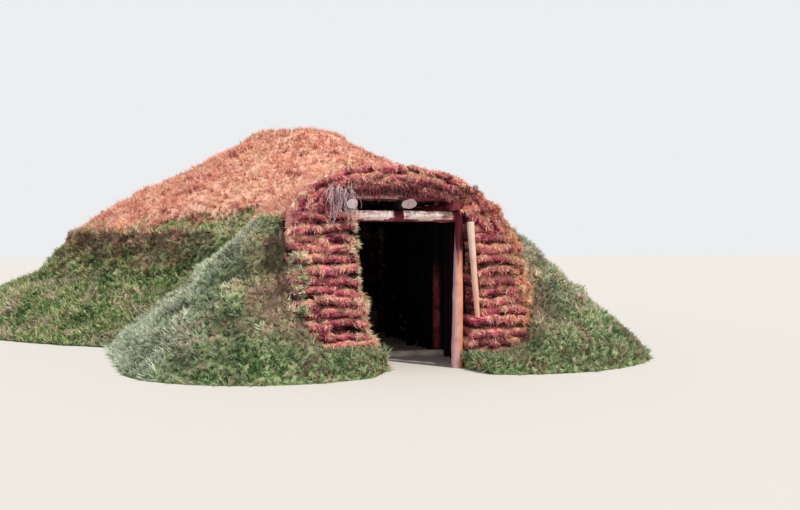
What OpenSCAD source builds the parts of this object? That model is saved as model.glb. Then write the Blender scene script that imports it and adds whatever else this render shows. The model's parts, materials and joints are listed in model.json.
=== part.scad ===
// Turf-covered earth lodge: a round, timber-framed dwelling under an earth bank and a thatched
// roof with a smoke hole, entered by a covered passage between walls of stacked sods.
// Millimetres, +Z up. The doorway faces -Y. The origin is on the ground, at the middle of the
// plan's length from the toe of the berms to the back of the bank.

/* [Mound] */
// Radius of the mound where it meets the ground
mound_r = 7600; // [7300:50:8000]
// Radius at which the turf bank ends and the thatched roof begins
eave_r = 5200; // [5150:10:5350]
// Height of the mound's surface at that radius
eave_h = 2240; // [2200:10:2320]
// Rise of the roof from there to the collar
roof_rise = 1990; // [1900:10:2100]
// Radius at which the roof meets the collar round the smoke hole
collar_r = 1350; // [1200:10:1500]
// Rise of the collar from there to its lip at the smoke hole
collar_rise = 330; // [250:10:450]
// How far the collar swells above a straight slope
collar_swell = 90; // [60:5:120]
// Radius of the smoke hole
smoke_r = 480; // [400:10:550]
// Thickness of the roof's cover, measured upright
cover_t = 330; // [280:10:360]
// Radius and height of the point that the bank's slope bends towards
bank_bend = [6650, 600];
// Number of courses of turf up the bank's slope
bank_courses = 7; // [5:1:8]
// How far the lower edge of a course of turf lies out over the course below
turf_step = 70; // [40:5:80]
// Number of segments that the bank and the roof are laid in
segments = 8;

/* [Room frame] */
// Number of posts in the outer ring
outer_count = 16;
// Radius of the outer ring of posts
outer_ring_r = 4900; // [4850:10:4950]
// Diameter of an outer post
outer_post_d = 180; // [160:5:220]
// Diameter of an outer beam
outer_beam_d = 160; // [140:5:180]
// Number of posts in the centre ring
centre_count = 8;
// Distance from the middle of the room to the face line of the centre beams
centre_ring_r = 2200; // [2000:20:2500]
// Diameter of a centre post
centre_post_d = 260; // [220:5:320]
// Diameter of a centre beam
centre_beam_d = 220; // [180:5:260]
// Diameter of a rafter
rafter_d = 110; // [90:5:130]
// How far a rafter runs out past the outer beams
rafter_tail = 260; // [220:10:280]
// How far the long rafters end from the smoke hole
rafter_head_gap = 60; // [40:5:100]
// How far the short rafters run in past the centre beams
short_rafter_in = 300; // [200:10:400]
// Diameter of a leaning wall pole
wall_pole_d = 110; // [90:5:130]
// Distance from the middle of the room to the foot of the wall poles
wall_pole_foot_r = 5650; // [5550:10:5750]
// Places of the wall poles along a bay, from its middle
wall_pole_places = [-780, -250, 250, 780];

/* [Entrance passage] */
// Distance from the middle of the room to the front of the doorway
passage_len = 10200; // [9800:50:10600]
// Half of the passage's width, to the face of its sod walls
passage_half = 920; // [900:5:960]
// How far the underside of the door lintel lies below the mound's surface where the roof begins
door_drop = 260; // [220:10:300]
// Distance from one pair of passage posts to the next
passage_bay = 1450; // [1350:10:1480]
// Number of pairs of posts behind the doorway
passage_pairs = 3;
// Diameter of a passage post and of the lintel on it
passage_post_d = 120; // [100:5:130]
// Diameter of the poles that line the passage
lining_d = 60; // [50:2:66]
// Distance from one lining pole to the next
lining_pitch = 240; // [200:10:300]
// Diameter of the door lintel
lintel_d = 150; // [130:5:170]
// How far the lintel runs out past the middle of its left and of its right post
lintel_past = [70, 72];
// How far the right door post stands in front of the lintel's middle
post_before_lintel = 60; // [50:5:75]
// Diameter of the right door post
door_post_d = 160; // [140:5:180]
// Place of the right door post, to the right of the middle
door_post_x = 640; // [620:5:660]
// Diameter of the left door post, which stands in the sods
left_post_d = 150; // [130:5:160]
// How far the left post's inner side stands out of the sods at the lintel
left_post_proud = 5; // [3:1:20]
// Diameter of the three roof poles that run back from the doorway
roof_pole_d = 130; // [110:5:140]
// Distance from one of these poles to the next
roof_pole_pitch = 730; // [700:5:740]
// How far these poles stick out in front of the doorway
roof_pole_out = 180; // [150:10:300]
// Place of the middle roof pole
roof_pole_mid = -150; // [-160:10:-100]
// Diameter of the poles laid across them
cross_pole_d = 80; // [60:5:90]
// Distance from one cross pole to the next
cross_pole_pitch = 480; // [400:10:600]
// Diameter of the log that lies across the passage as a threshold
threshold_d = 100; // [80:5:120]
// Diameter of the pole that leans against the right sod wall
lean_pole_d = 65; // [50:5:75]
// How far the foot of that pole stands out to the right of its head
lean_out = 85; // [60:5:110]

/* [Sod walls] */
// Half of the width of the sod front, outside
arch_half = 1630; // [1600:10:1700]
// Place of the highest point of the sod front, left of the middle
arch_crest = 280; // [200:10:320]
// How far below the lintel's underside the left and the right side of the sod front begin to round over
arch_shoulders = [20, 850];
// Height of the top of the sod front above the lintel's underside
arch_rise = 770; // [740:10:820]
// Depth of the sod piers beside the door, from front to back
pier_depth = 450; // [380:10:520]
// Place of the left pier's inner edge at the ground, left of the middle
left_jamb_foot = 350; // [300:10:400]
// Place of the left pier's inner edge at the lintel, left of the middle
left_jamb_head = 730; // [720:5:760]
// Place of the right pier's inner edge, right of the middle
right_jamb = 820; // [800:5:850]
// Number of courses in a sod wall
courses = 15;
// Height of the open joint between two courses
joint_h = 24; // [14:2:34]
// Length of a sod, about
sod_l = 160; // [120:10:200]
// How far the courses stand out from the joints, at most
sod_proud = 40; // [25:5:60]
// Number of courses of the ledge at the foot of the right pier
ledge_courses = 5;
// How far the ledge stands out, to the front and towards the doorway
ledge_out = [90, 50];

/* [Turf berms] */
// Place of a berm's ridge, from the middle of the passage
berm_x = 1700; // [1650:10:1750]
// Height of a berm above the lintel's underside
berm_over = 100; // [80:10:160]
// Half of the width of a berm's flat top
berm_top_r = 250; // [200:10:300]
// Spread of the left berm from its ridge to its toe
left_spread = 1900; // [1850:10:2050]
// Spread of the right berm from its ridge to its toe
right_spread = 2400; // [2250:10:2500]
// How far the left berm's nose is centred behind the doorway
left_nose = 1050; // [1000:10:1200]
// How far the right berm's nose is centred behind the doorway
right_nose = 1550; // [1500:10:1700]
// Angle at which the berms spread apart towards the mound
berm_flare = 6; // [3:1:9]
// Point that a berm's slope bends towards, as shares of its spread and of its height
berm_bend = [0.56, 0.50];
// Number of courses of turf up a berm's slope
berm_courses = 5; // [4:1:6]
// Heights to which the left and the right berm cover the front of the sods, inwards from the side
left_apron = [800, 450, 330];
right_apron = [420, 290, 240];
// Length of the way in between the berms' noses, and its two edges at their end
way_in = [1200, -1050, 960];

/* [Hidden] */
$fn = 96;
// Steps round the mound, fine enough for its great radius
mound_fn = 360;

// Clearance between timbers that lie on each other
seat = 0.3;
// Clearance at the ends of poles that stop short of what they point at
end_gap = 20;
// More than any solid's height or reach, for cuts that go right through
far = 12000;

// Heights of the mound and of the doorway
collar_h = eave_h + roof_rise;
lip_h = collar_h + collar_rise;
door_h = eave_h - door_drop;
arch_top = door_h + arch_rise;
berm_h = door_h + berm_over;

// Places along the passage
toe = max(left_spread - left_nose, right_spread - right_nose);
room_y = (toe + passage_len + mound_r) / 2 - mound_r;
door_y = room_y - passage_len;
// Middle of the door posts and of the lintel, behind the front of the sods
door_line = 130;
post_line = door_line - post_before_lintel;

// Heights in the passage, from the lintels up
lintel_z = door_h + lintel_d / 2;
plate_z = door_h + lintel_d;
roof_pole_z = plate_z + seat + roof_pole_d / 2;
cross_pole_z = roof_pole_z + roof_pole_d / 2 + seat + cross_pole_d / 2;
ceiling_z = cross_pole_z + cross_pole_d / 2 + seat;
passage_lintel_z = plate_z - passage_post_d / 2;

// Points on a curve that leaves a towards b and arrives at c from b
function mix(a, b, t) = a + (b - a) * t;
function curve(a, b, c, steps) =
    [for (i = [0:steps]) mix(mix(a, b, i / steps), mix(b, c, i / steps), i / steps)];
// The same slope laid in courses, each of which lies out over the one below
function in_courses(line) = [for (i = [0:len(line) - 1])
    each (i == 0 || i == len(line) - 1 ? [line[i]] : [line[i] - [turf_step, 0], line[i]])];

// The roof's upper and lower surface, by distance from the middle of the room
roof_slope = (collar_h - eave_h) / (eave_r - collar_r);
roof_pitch = atan(roof_slope);
function roof_z(r) = eave_h + (eave_r - r) * roof_slope;
function under_z(r) = roof_z(r) - cover_t;

// Outline of the bank and of the collar, upwards
bank_curve = in_courses(curve([mound_r, 0], bank_bend, [eave_r, eave_h], bank_courses));
collar_crest_r = (3 * collar_r + smoke_r) / 4;
collar_curve = curve([collar_r, collar_h], [collar_crest_r, lip_h + collar_swell], [smoke_r, lip_h], 6);

// Vertical distance between the axes of a rafter and of a level beam that it lies on,
// where the rafter's pitch is pitch and the beam turns by skew from square to it
function rest_h(beam_d, pitch, skew) =
    ((rafter_d + beam_d) / 2 + seat) * sqrt(1 + pow(tan(skew) * sin(pitch), 2)) / cos(pitch);

// Rings of posts: the outer bays and the centre sides are square to the passage
outer_bay = 360 / outer_count;
centre_bay = 360 / centre_count;
outer_face_r = outer_ring_r * cos(outer_bay / 2);
centre_post_r = centre_ring_r / cos(centre_bay / 2);
// Angles of the rafters, two to each outer bay
rafter_step = outer_bay / 2;
rafter_count = 2 * outer_count;
// Angle of rafter i from the middle of the nearest centre side and outer bay
function skew_in(i) = abs(((i + 0.5) * rafter_step + centre_bay / 2) % centre_bay - centre_bay / 2);
skew_out = rafter_step / 2;
skew_max = centre_bay / 2 - rafter_step / 2;
// Heights of the beams' axes, so that the highest rafters touch the cover
function rafter_axis_z(r) = under_z(r) - (rafter_d / 2 + seat) / cos(roof_pitch);
centre_cross_r = centre_ring_r / cos(skew_max);
outer_cross_r = outer_face_r / cos(skew_out);
centre_beam_z = rafter_axis_z(centre_cross_r) - rest_h(centre_beam_d, roof_pitch, skew_max);
outer_beam_z = rafter_axis_z(outer_cross_r) - rest_h(outer_beam_d, roof_pitch, skew_out);
// Pitch of a rafter that lies on both beams, found again from its own pitch
function rafter_rise(skew, pitch) =
    centre_beam_z + rest_h(centre_beam_d, pitch, skew)
    - outer_beam_z - rest_h(outer_beam_d, pitch, skew_out);
function rafter_pitch(skew, pitch, again) =
    again == 0 ? pitch
    : rafter_pitch(skew, atan(rafter_rise(skew, pitch) / (outer_cross_r - centre_ring_r / cos(skew))),
                   again - 1);

// Wall poles lean on the outer beams
wall_lean_reach = (outer_beam_d + wall_pole_d) / 2 + seat;
wall_dist = wall_pole_foot_r - outer_face_r;
wall_lean = atan(wall_dist / outer_beam_z)
    - asin(wall_lean_reach / norm([wall_dist, outer_beam_z]));
wall_pole_top = under_z(outer_face_r + wall_lean_reach + wall_pole_d) - end_gap;
// Distance of the wall poles' back from the middle of the room, at the bay's outermost pole
function lining_r(z) = norm([max(wall_pole_places),
    wall_pole_foot_r - z * tan(wall_lean) + (wall_pole_d / 2 + seat) / cos(wall_lean)]);

// The sod front's left side (-1) and right side (1) round over from their own heights to one crest
function arch_spring(side) = door_h - arch_shoulders[side < 0 ? 0 : 1];
function arch_reach(side) = arch_half + side * arch_crest;
// Angle round a side's rounded part at height z
function arch_turn(side, z) =
    asin(max(0, min(1, (z - arch_spring(side)) / (arch_top - arch_spring(side)))));
// Point of a side at that angle, outwards and upwards
function arch_point(side, turn) =
    [arch_reach(side) * cos(turn) - side * arch_crest,
     arch_spring(side) + (arch_top - arch_spring(side)) * sin(turn)];
// Distance of a side from the middle at height z
function arch_half_at(side, z) = arch_point(side, arch_turn(side, z))[0];
course_h = plate_z / courses;
header_courses = ceil((arch_top - plate_z) / course_h);
header_h = (arch_top - plate_z) / header_courses;
function jamb(side, z) =
    side > 0 ? right_jamb : mix(left_jamb_foot, left_jamb_head, min(1, z / door_h));
// Unevenness of the hand-cut sods, from 0 to 1, at place j of course i
function uneven(i, j) = 0.5 + 0.25 * sin(137 * i + 83 * j) + 0.25 * sin(61 * i - 47 * j);

turf = [0.42, 0.52, 0.30];
thatch = [0.78, 0.58, 0.40];
sod = [0.60, 0.34, 0.28];
pale_wood = [0.85, 0.77, 0.70];
brown_wood = [0.52, 0.38, 0.28];

// A log from point a to point b
module log_between(a, b, d) {
    v = b - a;
    translate(a)
        rotate([0, acos(v[2] / norm(v)), atan2(v[1], v[0])])
            cylinder(h = norm(v), d = d);
}

// Keeps only what is above the ground
module above_ground() {
    intersection() {
        children();
        translate([-far, -far, 0]) cube([2 * far, 2 * far, far]);
    }
}

// The whole mound as a solid, for cutting away what meets it
module mound_mass() {
    translate([0, room_y, 0])
        rotate_extrude($fn = mound_fn) polygon(concat([[0, 0]], bank_curve, collar_curve, [[0, lip_h]]));
}

// Left edge of the space for the poles over the passage
pole_left = roof_pole_mid - roof_pole_pitch - roof_pole_d;
// The passage through the mound, up to the cross poles
passage_end_r = outer_ring_r - 50;
module passage_cut() {
    length = passage_len - passage_end_r;
    translate([-passage_half, door_y, -1]) cube([2 * passage_half, length, ceiling_z + 1]);
    translate([pole_left, door_y, plate_z]) cube([passage_half - pole_left, length, ceiling_z - plate_z]);
}

// Segment k of a ring whose section is given in radius and height
module ring_segment(k) {
    difference() {
        translate([0, room_y, 0])
            rotate([0, 0, k * 360 / segments - 90])
                rotate_extrude(angle = 360 / segments, $fn = mound_fn) children();
        if (k == 0 || k == segments - 1) passage_cut();
    }
}

module turf_bank(k) {
    bank_in_r = lining_r(wall_pole_top);
    color(turf) ring_segment(k)
        polygon(concat(bank_curve, [[eave_r, under_z(eave_r)], [bank_in_r, under_z(bank_in_r)],
                                    [lining_r(0), 0]]));
}

module thatch_roof(k) {
    color(thatch) ring_segment(k)
        polygon([[eave_r, eave_h], [collar_r, collar_h], [collar_r, under_z(collar_r)],
                 [eave_r, under_z(eave_r)]]);
}

module smoke_hole_collar() {
    color(thatch) translate([0, room_y, 0])
        rotate_extrude() polygon(concat(collar_curve, [[smoke_r, under_z(smoke_r)],
                                                       [collar_r, under_z(collar_r)]]));
}

// Beams of a ring, one to each bay, cut square so that their ends just meet
module ring_beams(count, face_r, d, z) {
    half = face_r * tan(180 / count) - d / 2 * tan(180 / count) - seat;
    for (i = [0:count - 1])
        translate([0, room_y, 0]) rotate([0, 0, i * 360 / count])
            log_between([-half, -face_r, z], [half, -face_r, z], d);
}

// Posts of a ring, one at each corner, hollowed on top to hold the ends of two beams
module ring_posts(count, face_r, d, beam_d, z) {
    for (i = [0:count - 1])
        translate([0, room_y, 0]) rotate([0, 0, (i + 0.5) * 360 / count])
            translate([0, -face_r / cos(180 / count), 0]) difference() {
                cylinder(h = z, d = d);
                for (turn = [-180 / count, 180 / count])
                    rotate([0, 0, turn]) log_between([-d, 0, z], [d, 0, z], beam_d + 2 * seat);
            }
}

module centre_posts() color(brown_wood)
    ring_posts(centre_count, centre_ring_r, centre_post_d, centre_beam_d, centre_beam_z);
module centre_beams() color(brown_wood)
    ring_beams(centre_count, centre_ring_r, centre_beam_d, centre_beam_z);
module outer_posts() color(brown_wood)
    ring_posts(outer_count, outer_face_r, outer_post_d, outer_beam_d, outer_beam_z);
module outer_beams() color(brown_wood)
    ring_beams(outer_count, outer_face_r, outer_beam_d, outer_beam_z);

// Rafters, every second one reaching the smoke hole
module rafters() {
    tail_r = outer_cross_r + rafter_tail;
    color(brown_wood)
        for (i = [0:rafter_count - 1]) {
            skew = skew_in(i);
            pitch = rafter_pitch(skew, roof_pitch, 4);
            seat_z = outer_beam_z + rest_h(outer_beam_d, pitch, skew_out);
            head_r = i % 2 == 0 ? smoke_r + rafter_head_gap : centre_ring_r - short_rafter_in;
            translate([0, room_y, 0]) rotate([0, 0, (i + 0.5) * rafter_step - 90])
                log_between([tail_r, 0, seat_z - (tail_r - outer_cross_r) * tan(pitch)],
                            [head_r, 0, seat_z + (outer_cross_r - head_r) * tan(pitch)], rafter_d);
        }
}

// Leaning poles that carry the bank, in each bay but the one at the passage
module wall_poles() {
    color(brown_wood) above_ground()
        for (i = [1:outer_count - 1])
            translate([0, room_y, 0]) rotate([0, 0, i * outer_bay])
                for (x = wall_pole_places)
                    translate([x, -wall_pole_foot_r, 0]) rotate([-wall_lean, 0, 0])
                        translate([0, 0, -wall_pole_d])
                            cylinder(h = wall_pole_top / cos(wall_lean) + wall_pole_d, d = wall_pole_d);
}

// Where pair i of the passage posts stands
function pair_y(i) = door_y + i * passage_bay;
// The passage posts stand against the lining
post_x = passage_half - lining_d - seat - passage_post_d / 2;

module passage_lintels() {
    half = passage_half - lining_d - seat;
    color(brown_wood)
        for (i = [1:passage_pairs])
            log_between([-half, pair_y(i), passage_lintel_z], [half, pair_y(i), passage_lintel_z],
                        passage_post_d);
}

module passage_posts(side) {
    color(brown_wood)
        for (i = [1:passage_pairs])
            difference() {
                translate([side * post_x, pair_y(i), 0])
                    cylinder(h = passage_lintel_z, d = passage_post_d);
                log_between([-passage_half, pair_y(i), passage_lintel_z],
                            [passage_half, pair_y(i), passage_lintel_z], passage_post_d + 2 * seat);
            }
}

// Poles side by side that hold the sods back, from the piers to the room
module passage_lining(side) {
    first = door_y + pier_depth + lining_d;
    last = room_y - sqrt(pow(lining_r(0), 2) - pow(passage_half, 2)) - lining_d;
    count = floor((last - first) / lining_pitch);
    color(brown_wood)
        for (i = [0:count])
            translate([side * (passage_half - lining_d / 2), first + i * lining_pitch, 0])
                cylinder(h = plate_z - end_gap, d = lining_d);
}

left_post_x = left_post_proud - left_jamb_head - left_post_d / 2;
lintel_left = left_post_x - lintel_past[0];
lintel_right = door_post_x + lintel_past[1];
module lintel_log(d, past = 0) {
    log_between([lintel_left - past, door_y + door_line, lintel_z],
                [lintel_right + past, door_y + door_line, lintel_z], d);
}

module front_lintel() color(pale_wood) lintel_log(lintel_d);

module front_post(x, y, h, d) {
    color(brown_wood) difference() {
        translate([x, door_y + y, 0]) cylinder(h = h, d = d);
        lintel_log(lintel_d + 2 * seat, far / 10);
        // Nothing of the post is left over the lintel
        translate([x - d, door_y + door_line, lintel_z]) cube([2 * d, d, d]);
    }
}

// Three roof poles that run back over the lintels to the room
module roof_poles() {
    color(brown_wood)
        for (x = [-roof_pole_pitch, 0, roof_pole_pitch])
            log_between([roof_pole_mid + x, door_y - roof_pole_out, roof_pole_z],
                        [roof_pole_mid + x, room_y - passage_end_r - end_gap, roof_pole_z], roof_pole_d);
}

cross_half = roof_pole_pitch + roof_pole_d / 2;
module cross_pole(y) {
    log_between([roof_pole_mid - cross_half, y, cross_pole_z],
                [roof_pole_mid + cross_half, y, cross_pole_z], cross_pole_d);
}

first_cross_y = door_y + 150;
module upper_cross_log() color(pale_wood) cross_pole(first_cross_y);

module passage_cross_poles() {
    count = floor((room_y - passage_end_r - cross_pole_d - first_cross_y) / cross_pole_pitch);
    color(brown_wood)
        for (i = [1:count]) cross_pole(first_cross_y + i * cross_pole_pitch);
}

// Standing on the ledge of the right pier, and leaning on its front
lean_y = door_y - sod_proud - lean_pole_d / 2 - seat;
ledge_z = ledge_courses * course_h - joint_h;
lean_foot_z = ledge_z + lean_pole_d / 2 * lean_out / (door_h - ledge_z) + seat;
lean_head = [right_jamb - end_gap, lean_y, door_h];
lean_foot = [lean_head[0] + lean_out, lean_y, lean_foot_z];
module leaning_pole() color(pale_wood) log_between(lean_foot, lean_head, lean_pole_d);

module threshold_log() {
    half = passage_half - lining_d - seat;
    y = pair_y(1) - (passage_post_d + threshold_d) / 2 - seat;
    color(pale_wood) log_between([-half, y, threshold_d / 2], [half, y, threshold_d / 2], threshold_d);
}

// Solid with the given outline in width and height, from place y0 to place y1
module upright_slab(y0, y1) {
    translate([0, y1, 0]) rotate([90, 0, 0]) linear_extrude(y1 - y0) children();
}

// A side's edge, upwards between two heights
function arch_edge(side, z0, z1, steps = 8) = concat(
    z0 < arch_spring(side) ? [[arch_half, z0]] : [],
    [for (i = [0:steps]) arch_point(side, mix(arch_turn(side, z0), arch_turn(side, z1), i / steps))]);
// Both edges of the front from height z0 up, in one outline
function arch_outline(z0) =
    let (left = arch_edge(-1, z0, arch_top))
        concat(arch_edge(1, z0, arch_top), [for (i = [len(left) - 2:-1:0]) [-left[i][0], left[i][1]]]);

// The whole passage outside the mound as a solid, for cutting away what meets it
module passage_mass() {
    upright_slab(door_y - sod_proud, room_y) polygon(arch_outline(0));
}

// One course of sods between x0 and x1, with an uneven face that stands out by out
module sod_course(i, x0, x1, z, h, out = 0) {
    steps = max(2, round(abs(x1 - x0) / sod_l));
    face = [for (j = [0:steps])
        [mix(x0, x1, j / steps), door_y - out - sod_proud * uneven(i, j)]];
    translate([0, 0, z]) linear_extrude(h)
        polygon(concat(face, [[x1, door_y + pier_depth], [x0, door_y + pier_depth]]));
}

// Pier of sod courses on one side of the door
module sod_pier(side) {
    core = concat(arch_edge(side, 0, plate_z),
                  [[jamb(side, plate_z) + sod_proud, plate_z], [jamb(side, 0) + sod_proud, 0]]);
    color(sod) difference() {
        union() {
            upright_slab(door_y + sod_proud, door_y + pier_depth)
                polygon([for (p = core) [side * p[0], p[1]]]);
            for (i = [0:courses - 1]) {
                z = i * course_h;
                edge = jamb(side, z + course_h / 2) + sod_proud * (uneven(i, 9) - 0.5);
                out = side > 0 && i < ledge_courses ? ledge_out : [0, 0];
                sod_course(i, side * arch_half_at(side, z + course_h), side * (edge - out[1]), z,
                           course_h - joint_h, out[0]);
            }
        }
        if (side < 0) {
            translate([left_post_x, door_y + door_line, -1]) cylinder(h = far, d = left_post_d);
            translate([lintel_left - seat, door_y - 2 * sod_proud, door_h - seat])
                cube([passage_half, door_line + lintel_d / 2 + 2 * sod_proud + end_gap, far]);
        }
    }
}

// Sod wall that runs from a pier back to the mound
module sod_wall(side) {
    wall = concat(arch_edge(side, 0, plate_z), [[passage_half, plate_z], [passage_half, 0]]);
    color(sod) difference() {
        upright_slab(door_y + pier_depth, room_y - eave_r) polygon([for (p = wall) [side * p[0], p[1]]]);
        mound_mass();
    }
}

// Opening in the header and the cover for the roof poles and cross poles, as far as place right
module pole_space(right) {
    translate([pole_left, door_y - far / 2, 0]) cube([right - pole_left, far, ceiling_z]);
}

// Sods over the doorway, in courses that follow the rounded top
module sod_header() {
    color(sod) difference() {
        union() {
            upright_slab(door_y + sod_proud, door_y + pier_depth)
                polygon(arch_outline(plate_z));
            for (i = [0:header_courses - 1]) {
                z = plate_z + i * header_h;
                // A course ends a little outside the rounded top
                ends = [for (side = [-1, 1]) side * arch_half_at(side, z + 0.8 * header_h)];
                sod_course(i + 3, ends[0], ends[1], z, header_h - joint_h);
            }
        }
        pole_space(roof_pole_mid + roof_pole_pitch + roof_pole_d);
    }
}

// Sods and thatch over the passage, from the header to the mound
module passage_cover() {
    color(turf) difference() {
        upright_slab(door_y + pier_depth, room_y - collar_r) polygon(arch_outline(plate_z));
        mound_mass();
        pole_space(passage_half);
    }
}

// What is cleared in front of the sods, above the heights in apron
module front_space(side, apron) {
    upright_slab(door_y - far, door_y)
        polygon([for (p = [[0, apron[2]], [(arch_half + right_jamb) / 2, apron[1]],
                           [arch_half, apron[0]], [arch_half + 4 * sod_proud, far], [0, far]])
            [side * p[0], p[1]]]);
}

// Turf berm beside the passage: a round nose and a flank of the same outline
module berm(side, spread, nose, apron) {
    bend = [berm_bend[0] * spread, berm_bend[1] * berm_h];
    slope = in_courses(curve([spread, 0], bend, [berm_top_r, berm_h], berm_courses));
    outline = concat(slope, [for (i = [len(slope) - 1:-1:0]) [-slope[i][0], slope[i][1]]]);
    color(turf) difference() {
        translate([side * berm_x, door_y + nose, 0]) rotate([0, 0, -side * berm_flare]) {
            rotate([0, 0, 180])
                rotate_extrude(angle = 180, $fn = mound_fn)
                    polygon(concat([[0, 0]], slope, [[0, berm_h]]));
            upright_slab(0, passage_len - nose - eave_r) polygon(outline);
        }
        mound_mass();
        passage_mass();
        translate([0, door_y, -1]) linear_extrude(far)
            polygon([[-left_jamb_foot, 0], [way_in[1], -way_in[0]],
                     [way_in[2], -way_in[0]], [door_post_x + door_post_d / 2, 0]]);
        front_space(side, apron);
        if (side > 0)
            translate([door_post_x, door_y - ledge_out[0] - sod_proud, -1])
                cube([arch_half - door_post_x, pier_depth, ledge_z + 1]);
    }
}

turf_bank(0);  // turf_bank_1
turf_bank(1);  // turf_bank_2
turf_bank(2);  // turf_bank_3
turf_bank(3);  // turf_bank_4
turf_bank(4);  // turf_bank_5
turf_bank(5);  // turf_bank_6
turf_bank(6);  // turf_bank_7
turf_bank(7);  // turf_bank_8
thatch_roof(0);  // thatch_roof_1
thatch_roof(1);  // thatch_roof_2
thatch_roof(2);  // thatch_roof_3
thatch_roof(3);  // thatch_roof_4
thatch_roof(4);  // thatch_roof_5
thatch_roof(5);  // thatch_roof_6
thatch_roof(6);  // thatch_roof_7
thatch_roof(7);  // thatch_roof_8
smoke_hole_collar();
centre_posts();
centre_beams();
outer_posts();
outer_beams();
rafters();
wall_poles();
passage_posts(-1);  // passage_posts_left
passage_posts(1);  // passage_posts_right
passage_lintels();
front_post(left_post_x, door_line, lintel_z, left_post_d);  // front_post_left
front_post(door_post_x, post_line, plate_z, door_post_d);  // front_post_right
front_lintel();
upper_cross_log();
roof_poles();
passage_cross_poles();
passage_lining(-1);  // passage_lining_left
passage_lining(1);  // passage_lining_right
leaning_pole();
threshold_log();
sod_pier(-1);  // sod_pier_left
sod_pier(1);  // sod_pier_right
sod_wall(-1);  // sod_wall_left
sod_wall(1);  // sod_wall_right
sod_header();
passage_cover();
berm(-1, left_spread, left_nose, left_apron);  // berm_left
berm(1, right_spread, right_nose, right_apron);  // berm_right
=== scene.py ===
"""Looks of a turf-covered earth lodge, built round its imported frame.

Metres, +Z up. The doorway faces -Y, and the origin is on the ground in the middle of the plan.
"""

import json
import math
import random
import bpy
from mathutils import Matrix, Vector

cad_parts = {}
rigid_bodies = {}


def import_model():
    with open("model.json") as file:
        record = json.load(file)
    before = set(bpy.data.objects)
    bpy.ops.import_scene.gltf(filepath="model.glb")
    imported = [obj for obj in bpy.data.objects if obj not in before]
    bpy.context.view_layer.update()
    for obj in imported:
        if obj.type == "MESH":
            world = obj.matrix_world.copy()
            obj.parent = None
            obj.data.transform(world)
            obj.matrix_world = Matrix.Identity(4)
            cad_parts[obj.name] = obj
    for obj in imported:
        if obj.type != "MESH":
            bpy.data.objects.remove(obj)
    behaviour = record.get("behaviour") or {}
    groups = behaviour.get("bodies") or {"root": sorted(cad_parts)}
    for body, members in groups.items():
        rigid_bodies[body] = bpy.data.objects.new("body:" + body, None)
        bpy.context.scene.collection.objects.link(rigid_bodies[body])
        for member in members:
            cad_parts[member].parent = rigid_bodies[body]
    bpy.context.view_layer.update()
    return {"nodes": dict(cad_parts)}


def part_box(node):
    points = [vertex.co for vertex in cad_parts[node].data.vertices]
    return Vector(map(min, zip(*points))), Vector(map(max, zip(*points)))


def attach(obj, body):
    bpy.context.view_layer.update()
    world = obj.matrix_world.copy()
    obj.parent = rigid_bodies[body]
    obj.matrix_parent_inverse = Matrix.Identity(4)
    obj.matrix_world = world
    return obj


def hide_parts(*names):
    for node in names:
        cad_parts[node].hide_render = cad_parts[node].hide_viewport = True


bl_info = {
    "name": "Earth lodge dressing",
    "version": (1, 0, 0),
    "blender": (4, 5, 0),
    "location": "View3D > Sidebar > Lodge",
    "description": "Turf, dry grass, sods and logs for the frame of an earth lodge",
    "category": "Object",
}

import bpy
from bpy.props import FloatProperty, FloatVectorProperty, IntProperty, PointerProperty
from mathutils import Matrix, Vector, noise

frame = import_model()

# What the frame says

BANKS = [f"turf_bank_{k}" for k in range(1, 9)]
ROOFS = [f"thatch_roof_{k}" for k in range(1, 9)]


def box_of(nodes):
    """Lowest and highest corner of several CAD nodes together."""
    corners = [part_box(name) for name in nodes]
    low = [min(lo[i] for lo, hi in corners) for i in range(3)]
    high = [max(hi[i] for lo, hi in corners) for i in range(3)]
    return Vector(low), Vector(high)


bank_low, bank_high = box_of(BANKS)
roof_low, roof_high = box_of(ROOFS)
collar_low, collar_high = box_of(["smoke_hole_collar"])
pier_high = box_of(["sod_pier_left", "sod_pier_right"])[1]
header_high = box_of(["sod_header"])[1]

MOUND_R = (bank_high.x - bank_low.x) / 2
ROOM_Y = bank_high.y - MOUND_R
EAVE_R = (roof_high.x - roof_low.x) / 2
EAVE_H = bank_high.z
COLLAR_R = (collar_high.x - collar_low.x) / 2
COLLAR_H = roof_high.z
MOUND_H = collar_high.z
COVER_T = EAVE_H - roof_low.z
ROOF_SLOPE = (COLLAR_H - EAVE_H) / (EAVE_R - COLLAR_R)
ARCH_HALF = pier_high.x
ARCH_TOP = header_high.z
PLATE_H = pier_high.z
PIER_DEPTH = 0.45
DOOR_Y = pier_high.y - PIER_DEPTH

# Sizes that the frame's boxes don't give, in metres and radians

# Heights at which the left (-1) and the right (1) side of the sod front begin to round over, and
# how far left of the middle its top is
ARCH_SPRING = {-1: 1.96, 1: 1.13}
ARCH_CREST = 0.28
# The passage's inside, and the ends of the space for the roof poles over the doorway
PASSAGE_HALF = 0.92
CEILING_H = 2.341
POLE_LEFT = -1.01
POLE_RIGHT = 0.71
SMOKE_R = 0.48
# The bend of the bank's outside (radius, height), and its inside at the foot and at the head
BANK_BEND = (6.65, 0.60)
BANK_FOOT_IN = 5.762
BANK_HEAD_IN = 5.052
# The doorway's edges between the sods, at its top and then as (height, distance from the middle)
JAMB_X = 0.82
RIGHT_JAMB = ((0.0, 0.84), (0.5, 0.86), (0.75, 0.92), (1.7, 0.94), (1.9, 0.86), (2.2, JAMB_X))
LEFT_JAMB = ((0.0, 0.36), (0.25, 0.46), (0.42, 0.60), (0.70, 0.68), (1.05, 0.75), (1.35, 0.83), (2.2, 0.85))
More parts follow.
